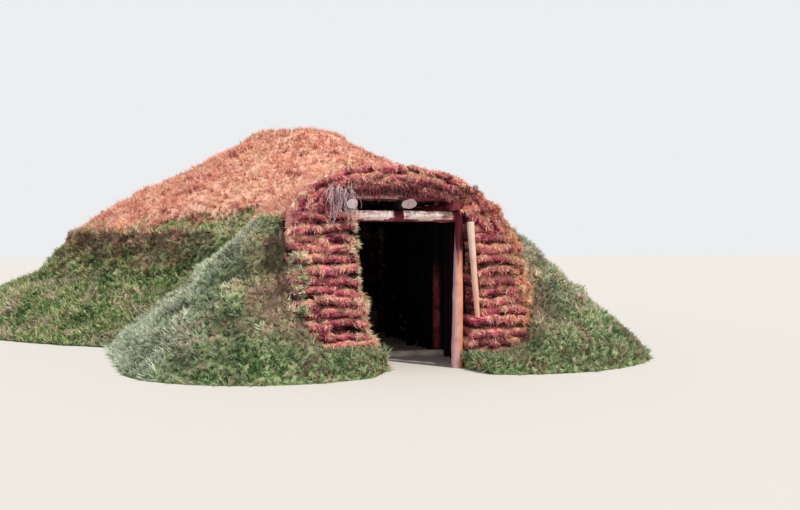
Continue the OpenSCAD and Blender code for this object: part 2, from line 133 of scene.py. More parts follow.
# The berms: their ridge's place and height, the width of its top, how far they splay outwards, and
# the bend of their slope as a share of its width and height
BERM_X = 1.70
BERM_H = 2.08
BERM_TOP = 0.25
BERM_FLARE = math.radians(6)
BERM_BEND = (0.56, 0.50)
# How far each berm's foot reaches from its ridge, and its round end from the doorway
LEFT_SPREAD = 1.90
LEFT_NOSE = 1.05
RIGHT_SPREAD = 2.40
RIGHT_NOSE = 1.55
# How much of its height the left berm loses in each metre towards the mound
LEFT_FALL = 0.085
# Heights of the ground before the sods, from the front's outer edge to the doorway
LEFT_APRON = (0.80, 0.45, 0.33)
RIGHT_APRON = (0.42, 0.29, 0.24)
# Courses of sods, and how many of the right pier's stand out as a ledge, and how far
COURSES = 15
LEDGE_COURSES = 5
LEDGE_OUT = 0.09
LEDGE_IN = 0.05
# How far the grass stands over the ground, and how far the ground has sunk at the eaves
GRASS_OVER = 0.07
EAVE_SUNK = 0.12
# How far the mound sags or swells, at which distance from the middle of the room, and how widely
EAVE_SAG = (0.38, 5.72, 0.75)
FOOT_SWELL = (0.12, 6.7, 0.5)
ROOF_SWELL = (0.13, 2.0, 0.7)
# The tallest blades over the ring round the smoke hole, and the lowest over the floor
BLADES_OVER = 0.1
BLADES_CLEAR = 0.001
# How deep the cut edges of the berms and the cover lie under the mound's and the front's grass
TUCKED = 0.12
# Where the passage ends at the room, from the room's middle
PASSAGE_END = 4.85
# Beyond every piece, for limits that are open on one side
FAR = 20

# Where the photograph was taken from, how far down and to the right it looks, and its focal length
# as a share of the picture's width
EYE = (-3.25, -19.45, 1.6)
EYE_DOWN = math.radians(0.33)
EYE_RIGHT = math.radians(15.6)
FOCAL = 858 / 800


class LodgeSettings(bpy.types.PropertyGroup):
    """Sizes and colours that a user would change."""

    grass_length: FloatProperty(
        name="Grass length", description="Length of a blade of the living grass",
        default=0.10, min=0.05, max=0.3, unit="LENGTH")
    grass_tufts: IntProperty(
        name="Grass tufts", description="Tufts of living grass on a square metre of the berms",
        default=500, min=50, max=800)
    thatch_length: FloatProperty(
        name="Dry grass length", description="Length of a blade of the dry grass on the roof",
        default=0.11, min=0.05, max=0.3, unit="LENGTH")
    thatch_tufts: IntProperty(
        name="Dry grass tufts", description="Tufts of dry grass on a square metre of the roof",
        default=210, min=50, max=800)
    grass_colour: FloatVectorProperty(
        name="Grass", description="Colour of the living grass, as sRGB",
        default=(0.52, 0.62, 0.36), subtype="COLOR_GAMMA", min=0, max=1)
    thatch_colour: FloatVectorProperty(
        name="Dry grass", description="Colour of the dry grass, as sRGB",
        default=(0.90, 0.70, 0.58), subtype="COLOR_GAMMA", min=0, max=1)


# Small tools

def clamp(value, low=0.0, high=1.0):
    """The value, or the limit that it has passed."""
    return min(high, max(low, value))


def bell(value, middle, width):
    """1 at the middle, falling to nearly 0 at twice the width from it."""
    return math.exp(-((value - middle) / width) ** 2)


def linear(value):
    """One sRGB channel, from 0 to 1, as linear light."""
    return value / 12.92 if value <= 0.04045 else ((value + 0.055) / 1.055) ** 2.4


def colour(code):
    """An sRGB hex code, or three sRGB numbers, as linear RGBA."""
    if isinstance(code, str):
        code = [int(code[i:i + 2], 16) / 255 for i in (1, 3, 5)]
    return (*[linear(v) for v in code], 1.0)


def per_metre(millimetres):
    """Noise scale on Object coordinates for a pattern of that real size."""
    return 1000 / millimetres


def add_node(tree, kind, inputs=None, stops=None, **settings):
    """Adds a node with its settings, its values or links by socket, and a ramp's stops."""
    item = tree.nodes.new(kind)
    for name, value in settings.items():
        setattr(item, name, value)
    for key, value in (inputs or {}).items():
        if isinstance(value, bpy.types.NodeSocket):
            tree.links.new(value, item.inputs[key])
        else:
            item.inputs[key].default_value = value
    if stops:
        ramp = item.color_ramp
        while len(ramp.elements) < len(stops):
            ramp.elements.new(1.0)
        for element, (place, shade) in zip(ramp.elements, stops):
            element.position = place
            element.color = colour(shade) if isinstance(shade, str) else (shade, shade, shade, 1.0)
    return item


def new_material(name):
    """An empty node material and its tree."""
    material = bpy.data.materials.new(name)
    material.use_nodes = True
    material.node_tree.nodes.clear()
    return material, material.node_tree


def deselect():
    """Leaves nothing selected."""
    if bpy.context.object and bpy.context.object.mode != "OBJECT":
        bpy.ops.object.mode_set(mode="OBJECT")
    bpy.ops.object.select_all(action="DESELECT")


def pick(*objects):
    """Selects just these objects and makes the first one active."""
    deselect()
    for item in objects:
        item.select_set(True)
    bpy.context.view_layer.objects.active = objects[0]


def apply_all(item):
    """Applies an object's modifiers from the first to the last."""
    pick(item)
    for modifier in list(item.modifiers):
        bpy.ops.object.modifier_apply(modifier=modifier.name)


def settle(item, name, finish, slot, *replaced):
    """Names a piece, puts its place into its mesh, gives it its finish and ties it to the frame."""
    pick(item)
    bpy.ops.object.transform_apply(location=True, rotation=True, scale=True)
    item.name = name
    item.data.name = name
    item.data.materials.clear()
    item.data.materials.append(finish_of(finish))
    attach(item, "root")
    if replaced:
        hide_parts(*replaced)
    return item


def join(items):
    """Joins several meshes into the first one."""
    pick(*items)
    bpy.ops.object.join()
    return bpy.context.object


def recalculate(item):
    """Merges doubles and turns all faces outwards."""
    pick(item)
    bpy.ops.object.mode_set(mode="EDIT")
    bpy.ops.mesh.select_all(action="SELECT")
    bpy.ops.mesh.remove_doubles(threshold=0.0005)
    bpy.ops.mesh.normals_make_consistent(inside=False)
    bpy.ops.object.mode_set(mode="OBJECT")


def add_values(item, name, values):
    """Keeps one number for each vertex as an attribute."""
    attribute = item.data.attributes.new(name, "FLOAT", "POINT")
    attribute.data.foreach_set("value", values)


def weigh(item, weight):
    """Gives each vertex the weight that its place has, from 0 to 1, in the group outer."""
    group = item.vertex_groups.new(name="outer")
    for vertex in item.data.vertices:
        share = clamp(weight(vertex.co))
        if share > 0:
            group.add([vertex.index], share, "REPLACE")


def lumps(item, name, size, strength, sunk=0.0):
    """Pushes the group outer in and out by a soft noise of that size, and sinks it, in metres."""
    texture = bpy.data.textures.new(name, "CLOUDS")
    texture.noise_scale = size
    texture.noise_depth = 2
    modifier = item.modifiers.new(name, "DISPLACE")
    modifier.texture = texture
    modifier.texture_coords = "LOCAL"
    modifier.strength = strength
    modifier.mid_level = 0.5 + sunk / strength
    modifier.vertex_group = "outer"


def curve_points(a, b, c, steps):
    """Points on a curve that leaves a towards b and arrives at c from b."""
    points = []
    for i in range(steps + 1):
        t = i / steps
        first = Vector(a).lerp(Vector(b), t)
        second = Vector(b).lerp(Vector(c), t)
        points.append(first.lerp(second, t))
    return points


def refine(line, step):
    """The same open line with points no further apart than step."""
    fine = []
    for here, after in zip(line, line[1:]):
        count = max(1, math.ceil((after - here).length / step))
        fine += [here.lerp(after, i / count) for i in range(count)]
    return fine + [line[-1].copy()]


def line_of(points, closed=True):
    """Edges through points (x, y, z), as an active object in edit mode, selected."""
    deselect()
    bpy.ops.mesh.primitive_circle_add(vertices=len(points), radius=1)
    line = bpy.context.object
    for vertex, place in zip(line.data.vertices, points):
        vertex.co = place
    if not closed:
        for vertex in line.data.vertices:
            vertex.select = vertex.index in (0, len(points) - 1)
        for edge in line.data.edges:
            edge.select = all(line.data.vertices[i].select for i in edge.vertices)
        bpy.ops.object.mode_set(mode="EDIT")
        bpy.ops.mesh.delete(type="EDGE")
    else:
        bpy.ops.object.mode_set(mode="EDIT")
    bpy.ops.mesh.select_all(action="SELECT")
    return line


def spun(outline, steps):
    """A ring round the room's middle, from a closed outline of (radius, height)."""
    ring = line_of([(p[0], ROOM_Y, p[1]) for p in outline])
    bpy.ops.mesh.spin(steps=steps, angle=math.tau, center=(0, ROOM_Y, 0), axis=(0, 0, 1))
    bpy.ops.object.mode_set(mode="OBJECT")
    recalculate(ring)
    return ring


def block(low, high):
    """A box from corner to corner."""
    deselect()
    size = Vector(high) - Vector(low)
    bpy.ops.mesh.primitive_cube_add(size=1, location=(Vector(low) + Vector(high)) / 2, scale=size)
    bpy.ops.object.transform_apply(location=True, rotation=True, scale=True)
    return bpy.context.object


def put_in_order(mesh):
    """Gives a mesh's vertices, faces and corners an order that depends on their places alone.

    A cut leaves them in any order, and what is scattered over them follows that order.
    """
    places = [tuple(round(part, 6) + 0.0 for part in vertex.co) for vertex in mesh.vertices]
    ranked = sorted(range(len(places)), key=places.__getitem__)
    rank = {old: new for new, old in enumerate(ranked)}
    kept = {layer.name: [layer.data[i].value for i in ranked] for layer in mesh.attributes
            if layer.domain == "POINT" and layer.data_type == "FLOAT"}
    rings = []
    for face in mesh.polygons:
        ring = [rank[i] for i in face.vertices]
        first = ring.index(min(ring))
        rings.append(ring[first:] + ring[:first])
    mesh.clear_geometry()
    mesh.from_pydata([places[i] for i in ranked], [], sorted(rings))
    for name, values in kept.items():
        mesh.attributes.new(name, "FLOAT", "POINT").data.foreach_set("value", values)


def cut(item, cutter):
    """Cuts cutter away from item, and removes the cutter."""
    modifier = item.modifiers.new("cut", "BOOLEAN")
    modifier.object = cutter
    modifier.operation = "DIFFERENCE"
    modifier.solver = "EXACT"
    apply_all(item)
    bpy.data.objects.remove(cutter)
    put_in_order(item.data)


# The forms of the mound, by distance from the middle of the room

BANK_OUTLINE = curve_points((MOUND_R, 0), BANK_BEND, (EAVE_R, EAVE_H), 10)
COLLAR_OUTLINE = curve_points(
    (COLLAR_R, COLLAR_H), (COLLAR_R * 0.83, MOUND_H + 0.03 + 0.044), (SMOKE_R, MOUND_H - 0.016), 10)


def under_z(radius):
    """Height of the roof cover's underside."""
    return EAVE_H + (EAVE_R - radius) * ROOF_SLOPE - COVER_T


def outside_z(radius):
    """Height of the mound's surface."""
    if radius >= EAVE_R:
        for low, high in zip(BANK_OUTLINE, BANK_OUTLINE[1:]):
            if high.x <= radius <= low.x:
                return low.y + (high.y - low.y) * (low.x - radius) / (low.x - high.x)
        return 0.0
    return EAVE_H + (EAVE_R - radius) * ROOF_SLOPE


def clear_passage(item):
    """Cuts the passage and the space for the poles over it out of a piece."""
    cut(item, block((-PASSAGE_HALF, DOOR_Y - 1, -0.5), (PASSAGE_HALF, ROOM_Y - PASSAGE_END, CEILING_H)))
    cut(item, block((POLE_LEFT, DOOR_Y - 1, PLATE_H), (PASSAGE_HALF, ROOM_Y - PASSAGE_END, CEILING_H)))


def arch_turn(side, z):
    """Angle round the rounded part of the sod front's side at height z."""
    part = (z - ARCH_SPRING[side]) / (ARCH_TOP - ARCH_SPRING[side])
    return math.asin(clamp(part))


def arch_point(side, turn, inset=0.0):
    """Point (x, z) of the sod front's side at that angle, smaller by inset."""
    reach = ARCH_HALF + side * ARCH_CREST - inset
    rise = ARCH_TOP - ARCH_SPRING[side] - inset
    return side * reach * math.cos(turn) - ARCH_CREST, ARCH_SPRING[side] + rise * math.sin(turn)


def arch_half_at(side, z):
    """Distance of the sod front's side from the middle at height z."""
    return side * arch_point(side, arch_turn(side, z))[0]


def arch_edge(side, low, inset=0.0, steps=16):
    """Points (x, z) up the sod front's side, from height low to its crest."""
    first = arch_turn(side, low)
    foot = [(side * (ARCH_HALF - inset), low)] if low < ARCH_SPRING[side] else []
    return foot + [arch_point(side, first + (math.pi / 2 - first) * i / steps, inset)
                   for i in range(steps + 1)]


def arch_outline(low, inset=0.0):
    """The sod front's outline as points (x, z) from height low up, smaller by inset."""
    return arch_edge(1, low, inset) + arch_edge(-1, low, inset)[-2::-1]


def upright_slab(outline, front, back):
    """A solid with the given outline of (x, z), from place front to place back."""
    slab = line_of([(x, front, z) for x, z in outline])
    bpy.ops.mesh.edge_face_add()
    bpy.ops.mesh.extrude_region_move(TRANSFORM_OT_translate={"value": (0, back - front, 0)})
    bpy.ops.object.mode_set(mode="OBJECT")
    recalculate(slab)
    return slab


# Materials

def blade_painted_shade(tree, base, root, tip, hollow_shade):
    """A colour with painted shade towards a blade's root and in the hollows between clumps."""
    along = add_node(tree, "ShaderNodeSeparateXYZ", {
        0: add_node(tree, "ShaderNodeUVMap", uv_map="UVMap").outputs["UV"]})
    length = add_node(tree, "ShaderNodeMapRange", {
        "Value": along.outputs["Y"], "To Min": root, "To Max": tip})
    tone = add_node(tree, "ShaderNodeAttribute", attribute_name="tone")
    heap = add_node(tree, "ShaderNodeMapRange", {
        "Value": tone.outputs["Fac"], "To Min": hollow_shade, "To Max": 1.1})
    both = add_node(tree, "ShaderNodeMath", {0: length.outputs[0], 1: heap.outputs[0]}, operation="MULTIPLY")
    return add_node(tree, "ShaderNodeMix", {0: 1.0, 6: base, 7: both.outputs[0]},
                    data_type="RGBA", blend_type="MULTIPLY").outputs[2]


def noise_sum(tree, place, layers):
    """Noises added up, each as (size in millimetres, detail, share)."""
    total = 0.0
    for size, detail, share in layers:
        part = add_node(tree, "ShaderNodeTexNoise", {
            "Vector": place, "Scale": per_metre(size), "Detail": detail, "Roughness": 0.6})
        total = add_node(tree, "ShaderNodeMath", {0: part.outputs["Fac"], 1: share, 2: total},
                         operation="MULTIPLY_ADD").outputs[0]
    return total


def grass_material(name, stops, dried):
    """Living prairie grass: matt blades with painted shade at the root, yellowed and greyed in patches."""
    material, tree = new_material(name)
    settings = bpy.context.scene.lodge
    place = add_node(tree, "ShaderNodeTexCoord").outputs["Object"]
    # Drifts of about a metre, clumps of two hands' breadth, and single tufts
    mixed = noise_sum(tree, place, ((1300, 2.0, 0.15), (420, 2.0, 0.45), (90, 2.0, 0.4)))
    # Heaps come out a little lighter, as painted light, with some random change
    tone = add_node(tree, "ShaderNodeAttribute", attribute_name="tone").outputs["Fac"]
    mixed = add_node(tree, "ShaderNodeMath", {0: tone, 1: 0.06, 2: mixed}, operation="MULTIPLY_ADD")
    base = add_node(tree, "ShaderNodeValToRGB", {"Fac": mixed.outputs[0]}, stops=stops).outputs["Color"]
    # Parts are paler, and parts are dry and pink
    for attribute, most, shade in (("lush", 0.6, "#587a44"), ("pale", 0.7, "#dde4d0"), ("dry", 0.75, dried)):
        share = add_node(tree, "ShaderNodeAttribute", attribute_name=attribute).outputs["Fac"]
        share = add_node(tree, "ShaderNodeMath", {0: share, 1: most}, operation="MULTIPLY")
        base = add_node(tree, "ShaderNodeMix", {0: share.outputs[0], 6: base, 7: colour(shade)},
                        data_type="RGBA").outputs[2]
    # Painted shade towards the roots and in the hollows between heaps
    shaded = blade_painted_shade(tree, base, 0.8, 1.35, 0.35)
    tint = add_node(tree, "ShaderNodeMix", {0: 0.1, 6: shaded, 7: colour(settings.grass_colour)},
                    data_type="RGBA", blend_type="MIX")
    shader = add_node(tree, "ShaderNodeBsdfPrincipled", {
        "Base Color": tint.outputs[2], "Roughness": 0.8, "IOR": 1.3})
    add_node(tree, "ShaderNodeOutputMaterial", {"Surface": shader.outputs[0]})
    return material


def turf_material(name):
    """Turf under the grass: soil and moss, matt, with painted shade in the hollows."""
    material, tree = new_material(name)
    place = add_node(tree, "ShaderNodeTexCoord").outputs["Object"]
    patch = add_node(tree, "ShaderNodeTexNoise", {
        "Vector": place, "Scale": per_metre(110), "Detail": 5.0, "Roughness": 0.65})
    shades = add_node(tree, "ShaderNodeValToRGB", {"Fac": patch.outputs["Fac"]}, stops=[
        (0.38, "#3c4c30"), (0.46, "#728e58"), (0.54, "#a8bc80"), (0.64, "#bca890")])
    dry = add_node(tree, "ShaderNodeAttribute", attribute_name="dry").outputs["Fac"]
    dried = add_node(tree, "ShaderNodeMix", {
        0: dry, 6: shades.outputs["Color"], 7: colour("#b4847a")}, data_type="RGBA")
    # Painted shade in the ground's hollows
    heap = add_node(tree, "ShaderNodeAttribute", attribute_name="heap")
    depth = add_node(tree, "ShaderNodeMapRange", {
        "Value": heap.outputs["Fac"], "From Max": 0.7, "To Min": 0.35})
    shaded = add_node(tree, "ShaderNodeMix", {
        0: 1.0, 6: dried.outputs[2], 7: depth.outputs[0]}, data_type="RGBA", blend_type="MULTIPLY")
    grain = add_node(tree, "ShaderNodeTexNoise", {
        "Vector": place, "Scale": per_metre(25), "Detail": 4.0})
    bump = add_node(tree, "ShaderNodeBump", {
        "Strength": 0.6, "Distance": 0.02, "Height": grain.outputs["Fac"]})
    shader = add_node(tree, "ShaderNodeBsdfPrincipled", {
        "Base Color": shaded.outputs[2], "Roughness": 0.95, "Normal": bump.outputs["Normal"]})
    add_node(tree, "ShaderNodeOutputMaterial", {"Surface": shader.outputs[0]})
    return material


def thatch_material(name, blades, stops=None, painted_top_light=0.0, hollow_shade=0.7, scales=(800, 170, 18)):
    """Dry grass: matt straw bleached orange and pink, with darker wet tufts, and painted shade on its blades.

    rising is how much lighter the attribute rise makes it from the bottom of a sod to its top, as
    painted light, hollow how dark it is between its heaps as painted shade, and scales the sizes of its
    patches in millimetres.
    """
    material, tree = new_material(name)
    settings = bpy.context.scene.lodge
    place = add_node(tree, "ShaderNodeTexCoord").outputs["Object"]
    mixed = noise_sum(tree, place, list(zip(scales, (2.0, 2.0, 1.0), (0.25, 0.5, 0.25))))
    # Lighter towards the top of each sod, as painted light
    if painted_top_light:
        rise = add_node(tree, "ShaderNodeAttribute", attribute_name="rise").outputs["Fac"]
        lift = add_node(tree, "ShaderNodeMath", {0: rise, 1: painted_top_light, 2: -painted_top_light / 2},
                        operation="MULTIPLY_ADD")
        mixed = add_node(tree, "ShaderNodeMath", {0: mixed, 1: lift.outputs[0]}, operation="ADD").outputs[0]
    shades = add_node(tree, "ShaderNodeValToRGB", {"Fac": mixed}, stops=stops or STRAW)
    base = shades.outputs["Color"]
    if blades:
        # Painted shade towards the roots and in the hollows between heaps
        base = blade_painted_shade(tree, base, 0.9, 1.25, hollow_shade)
    else:
        turf = add_node(tree, "ShaderNodeAttribute", attribute_name="turf").outputs["Fac"]
        base = add_node(tree, "ShaderNodeMix", {0: turf, 6: base, 7: colour("#8a9468")},
                        data_type="RGBA").outputs[2]
    tint = add_node(tree, "ShaderNodeMix", {0: 0.1, 6: base, 7: colour(settings.thatch_colour)},
                    data_type="RGBA", blend_type="MIX")
    grain = add_node(tree, "ShaderNodeTexNoise", {
        "Vector": place, "Scale": per_metre(20), "Detail": 4.0, "Roughness": 0.7})
    bump = add_node(tree, "ShaderNodeBump", {
        "Strength": 0.0 if blades else 0.8, "Distance": 0.02, "Height": grain.outputs["Fac"]})
    shader = add_node(tree, "ShaderNodeBsdfPrincipled", {
        "Base Color": tint.outputs[2], "Roughness": 0.85, "IOR": 1.3, "Normal": bump.outputs["Normal"]})
    add_node(tree, "ShaderNodeOutputMaterial", {"Surface": shader.outputs[0]})
    return material


def sod_material(name):
    """Cut sods: dry red clay full of roots, with painted light on top, painted shade low down, and painted
    shade on the earth behind.
    """
    material, tree = new_material(name)
    place = add_node(tree, "ShaderNodeTexCoord").outputs["Object"]
    # Root layers about 20 mm thick and ten times as long
    flat = add_node(tree, "ShaderNodeMapping", {"Vector": place, "Scale": (1.0, 1.0, 5.0)})
    layers = add_node(tree, "ShaderNodeTexNoise", {
        "Vector": flat.outputs["Vector"], "Scale": per_metre(120), "Detail": 6.0, "Roughness": 0.7})
    tone = add_node(tree, "ShaderNodeAttribute", attribute_name="tone").outputs["Fac"]
    rise = add_node(tree, "ShaderNodeAttribute", attribute_name="rise").outputs["Fac"]
    mixed = add_node(tree, "ShaderNodeMath", {0: layers.outputs["Fac"], 1: 0.75}, operation="MULTIPLY")
    mixed = add_node(tree, "ShaderNodeMath", {0: tone, 1: 0.12, 2: mixed.outputs[0]},
                     operation="MULTIPLY_ADD")
    # Lighter towards the top of each sod, as painted light
    mixed = add_node(tree, "ShaderNodeMath", {0: rise, 1: 0.16, 2: mixed.outputs[0]},
                     operation="MULTIPLY_ADD")
    shades = add_node(tree, "ShaderNodeValToRGB", {"Fac": mixed.outputs[0]}, stops=CLAY)
    # Painted shade low on each sod and painted light on its top
    painted_gap_shade = add_node(tree, "ShaderNodeMapRange", {"Value": rise, "To Min": 0.15, "To Max": 1.1})
    # Painted shade: the earth behind the sods, tone -1, turns nearly black
    deep = add_node(tree, "ShaderNodeMapRange", {
        "Value": tone, "From Min": -1.0, "From Max": 0.0, "To Min": 0.1, "To Max": 1.0})
    both = add_node(tree, "ShaderNodeMath", {0: painted_gap_shade.outputs[0], 1: deep.outputs[0]}, operation="MULTIPLY")
    base = add_node(tree, "ShaderNodeMix", {0: 1.0, 6: shades.outputs["Color"], 7: both.outputs[0]},
                    data_type="RGBA", blend_type="MULTIPLY")
    bump = add_node(tree, "ShaderNodeBump", {
        "Strength": 1.0, "Distance": 0.02, "Height": layers.outputs["Fac"]})
    shader = add_node(tree, "ShaderNodeBsdfPrincipled", {
        "Base Color": base.outputs[2], "Roughness": 0.95, "Normal": bump.outputs["Normal"]})
    add_node(tree, "ShaderNodeOutputMaterial", {"Surface": shader.outputs[0]})
    return material


def wood_material(name, stops, axis, roughness=0.8, painted_shade_from=None, painted_sunlit_side=None, painted_shade_above=None):
    """Round timber: grain along the given axis, checks and blotches, matt.

    soot gives the place y behind which, and the height above which, it is black as painted shade.
    sunned gives the places x between which it turns from one colour to another, and these colours, as
    painted sunlight on one side. Above painted_shade_above it has painted shade in bark's colour, ending in
    streaks.
    """
    material, tree = new_material(name)
    place = add_node(tree, "ShaderNodeTexCoord").outputs["Object"]
    along = [0.06 if i == axis else 1.0 for i in range(3)]
    grain_place = add_node(tree, "ShaderNodeMapping", {"Vector": place, "Scale": along})
    grain = add_node(tree, "ShaderNodeTexNoise", {
        "Vector": grain_place.outputs["Vector"], "Scale": per_metre(14), "Detail": 5.0,
        "Roughness": 0.65})
    blotch = add_node(tree, "ShaderNodeTexNoise", {
        "Vector": place, "Scale": per_metre(160), "Detail": 4.0, "Roughness": 0.6})
    mixed = add_node(tree, "ShaderNodeMath", {0: blotch.outputs["Fac"], 1: 0.5}, operation="MULTIPLY")
    mixed = add_node(tree, "ShaderNodeMath", {0: grain.outputs["Fac"], 1: 0.5, 2: mixed.outputs[0]},
                     operation="MULTIPLY_ADD")
    base = add_node(tree, "ShaderNodeValToRGB", {"Fac": mixed.outputs[0]}, stops=stops).outputs["Color"]
    parts = add_node(tree, "ShaderNodeSeparateXYZ", {0: place})
    # Painted sunlight: one side turns to the lit colour across these places x
    if painted_sunlit_side:
        share = add_node(tree, "ShaderNodeMapRange", {
            "Value": parts.outputs["X"], "From Min": painted_sunlit_side[0], "From Max": painted_sunlit_side[1]})
        sides = add_node(tree, "ShaderNodeMix", {
            0: share.outputs[0], 6: colour(painted_sunlit_side[2]), 7: colour(painted_sunlit_side[3])}, data_type="RGBA")
        base = add_node(tree, "ShaderNodeMix", {0: 0.6, 6: base, 7: sides.outputs[2]},
                        data_type="RGBA").outputs[2]
    # Painted shade at the head, in the colour of bark, ending in streaks
    if painted_shade_above:
        streaks = add_node(tree, "ShaderNodeTexNoise", {
            "Vector": grain_place.outputs["Vector"], "Scale": per_metre(40), "Detail": 3.0})
        ragged = add_node(tree, "ShaderNodeMath", {
            0: streaks.outputs["Fac"], 1: 1.4, 2: parts.outputs["Z"]}, operation="MULTIPLY_ADD")
        share = add_node(tree, "ShaderNodeMapRange", {
            "Value": ragged.outputs[0], "From Min": painted_shade_above + 0.6, "From Max": painted_shade_above + 0.8})
        base = add_node(tree, "ShaderNodeMix", {0: share.outputs[0], 6: base, 7: colour("#581a26")},
                        data_type="RGBA").outputs[2]
    # Painted shade: black behind a place y and above a height
    if painted_shade_from:
        for value, limit in ((parts.outputs["Y"], painted_shade_from[0]), (parts.outputs["Z"], painted_shade_from[1])):
            share = add_node(tree, "ShaderNodeMapRange", {
                "Value": value, "From Min": limit - 0.2, "From Max": limit + 0.2})
            base = add_node(tree, "ShaderNodeMix", {0: share.outputs[0], 6: base, 7: colour("#0a0808")},
                            data_type="RGBA").outputs[2]
    bump = add_node(tree, "ShaderNodeBump", {
        "Strength": 0.5, "Distance": 0.006, "Height": grain.outputs["Fac"]})
    shader = add_node(tree, "ShaderNodeBsdfPrincipled", {
        "Base Color": base, "Roughness": roughness, "Specular IOR Level": 0.2,
        "Normal": bump.outputs["Normal"]})
    add_node(tree, "ShaderNodeOutputMaterial", {"Surface": shader.outputs[0]})
    return material


# Shades from dark to light, with the noise value at which each stands

BANK_GREENS = [(0.43, "#34442f"), (0.47, "#6c9054"), (0.51, "#a8c286"), (0.55, "#e2e2a4"),
               (0.58, "#b4988e"), (0.63, "#e4d6be")]
BERM_GREENS = [(0.42, "#54704e"), (0.47, "#a2c28a"), (0.51, "#deecc4"), (0.55, "#faf8d4"),
               (0.58, "#f2ceba"), (0.63, "#dcb0a6")]
STRAW = [(0.40, "#a85a56"), (0.45, "#e49c8c"), (0.49, "#fabea8"), (0.54, "#fbcab0"), (0.60, "#fbdab6")]
RIM = [(0.40, "#4e2228"), (0.46, "#8c4a48"), (0.52, "#b07864"), (0.56, "#7d8a54"), (0.64, "#cf9c80")]
ROOTS = [(0.40, "#5e1430"), (0.45, "#d04a78"), (0.50, "#ff94ae"), (0.56, "#ffc0ae"), (0.62, "#ffe6c8")]
CREAM = [(0.38, "#cfa682"), (0.46, "#eacca0"), (0.54, "#f6e8c8"), (0.64, "#fbf6e8")]
GOLD = [(0.40, "#b05a50"), (0.46, "#e69470"), (0.54, "#f8c88e"), (0.62, "#fce8bc")]
BRUSH = [(0.40, "#6c525c"), (0.47, "#9c7e8a"), (0.54, "#c6aab2"), (0.62, "#ecdcda")]
CLAY = [(0.34, "#4a1020"), (0.43, "#b83254"), (0.50, "#ee6a88"), (0.57, "#fc9898"), (0.65, "#ffbc98"),
        (0.78, "#ffdcb2")]
SAWN = [(0.35, "#b48c90"), (0.5, "#e4c8c6"), (0.65, "#f8eae8")]
# Near black: bark with painted shade, for the timbers inside the passage
BARK_IN_PAINTED_SHADE = [(0.35, "#060505"), (0.5, "#0c0a0a"), (0.68, "#171212")]
BARK = [(0.35, "#2e1d17"), (0.47, "#5c3a2c"), (0.56, "#8a5a44"), (0.68, "#a9826a")]
RED_BARK = [(0.35, "#35101a"), (0.47, "#702a34"), (0.56, "#9c4c50"), (0.68, "#b87870")]
PEELED = [(0.36, "#6e4a46"), (0.42, "#c09690"), (0.50, "#e8d0ca"), (0.66, "#faf0ec")]
REDDISH = [(0.36, "#8a4440"), (0.44, "#d48c7e"), (0.52, "#eebaaa"), (0.66, "#f8dcd0")]
PALE = [(0.36, "#b89c8e"), (0.44, "#e6d6c8"), (0.52, "#f6ecdf"), (0.66, "#fcf8f0")]

# How each finish is made, by its name
FINISHES = {
    "bank_grass": lambda name: grass_material(name, BANK_GREENS, "#b07c74"),
    "berm_grass": lambda name: grass_material(name, BERM_GREENS, "#ecb8a2"),
    "turf_ground": turf_material,
    "dry_grass": lambda name: thatch_material(name, True, scales=(900, 300, 30)),
    "thatch_ground": lambda name: thatch_material(name, False),
    "rim_grass": lambda name: thatch_material(name, True, RIM),
    "root_fringe": lambda name: thatch_material(name, True, ROOTS, 0.34, 0.4, (300, 80, 25)),
    "cream_fringe": lambda name: thatch_material(name, True, CREAM),
    "gold_fringe": lambda name: thatch_material(name, True, GOLD),
    "brush": lambda name: thatch_material(name, True, BRUSH),
    "cut_sod": sod_material,
    "end_grain": lambda name: wood_material(name, SAWN, 2, 0.85),
    "bark_upright": lambda name: wood_material(name, BARK, 2),
    "bark_across": lambda name: wood_material(name, BARK, 0),
    "red_bark_across": lambda name: wood_material(name, RED_BARK, 0),
    "red_bark_lengthwise": lambda name: wood_material(name, RED_BARK, 1),
    # A passage post, black with painted shade behind y -6.6 and above 1.22 m
    "sooty_upright": lambda name: wood_material(name, RED_BARK, 2, painted_shade_from=(-6.6, 1.22)),
    # Timbers inside the passage, near black with painted shade
    "dark_upright": lambda name: wood_material(name, BARK_IN_PAINTED_SHADE, 2),
    "dark_across": lambda name: wood_material(name, BARK_IN_PAINTED_SHADE, 0),
    "dark_lengthwise": lambda name: wood_material(name, BARK_IN_PAINTED_SHADE, 1),
    "peeled_across": lambda name: wood_material(name, PEELED, 0, 0.65),
    # Paler than the peeled logs, as painted sunlight on the threshold
    "pale_across": lambda name: wood_material(name, PALE, 0, 0.65),
    # Peeled and reddened, with painted shade in bark's colour at its head, and painted sunlight on its right
    "post_wood": lambda name: wood_material(name, REDDISH, 2, 0.65, painted_shade_above=1.62,
                                            painted_sunlit_side=(0.60, 0.66, "#d8b4c4", "#f2935a")),
    # Pale, with painted sunlight turning it orange on its right
    "pole_wood": lambda name: wood_material(name, PALE, 2, 0.65,
                                            painted_sunlit_side=(0.76, 0.86, "#f4dccf", "#ee8c48")),
}
made = {}


def finish_of(name):
    """The material of that name, made when it is first asked for."""
    if name not in made:
        made[name] = FINISHES[name](name)
    return made[name]


# Grass

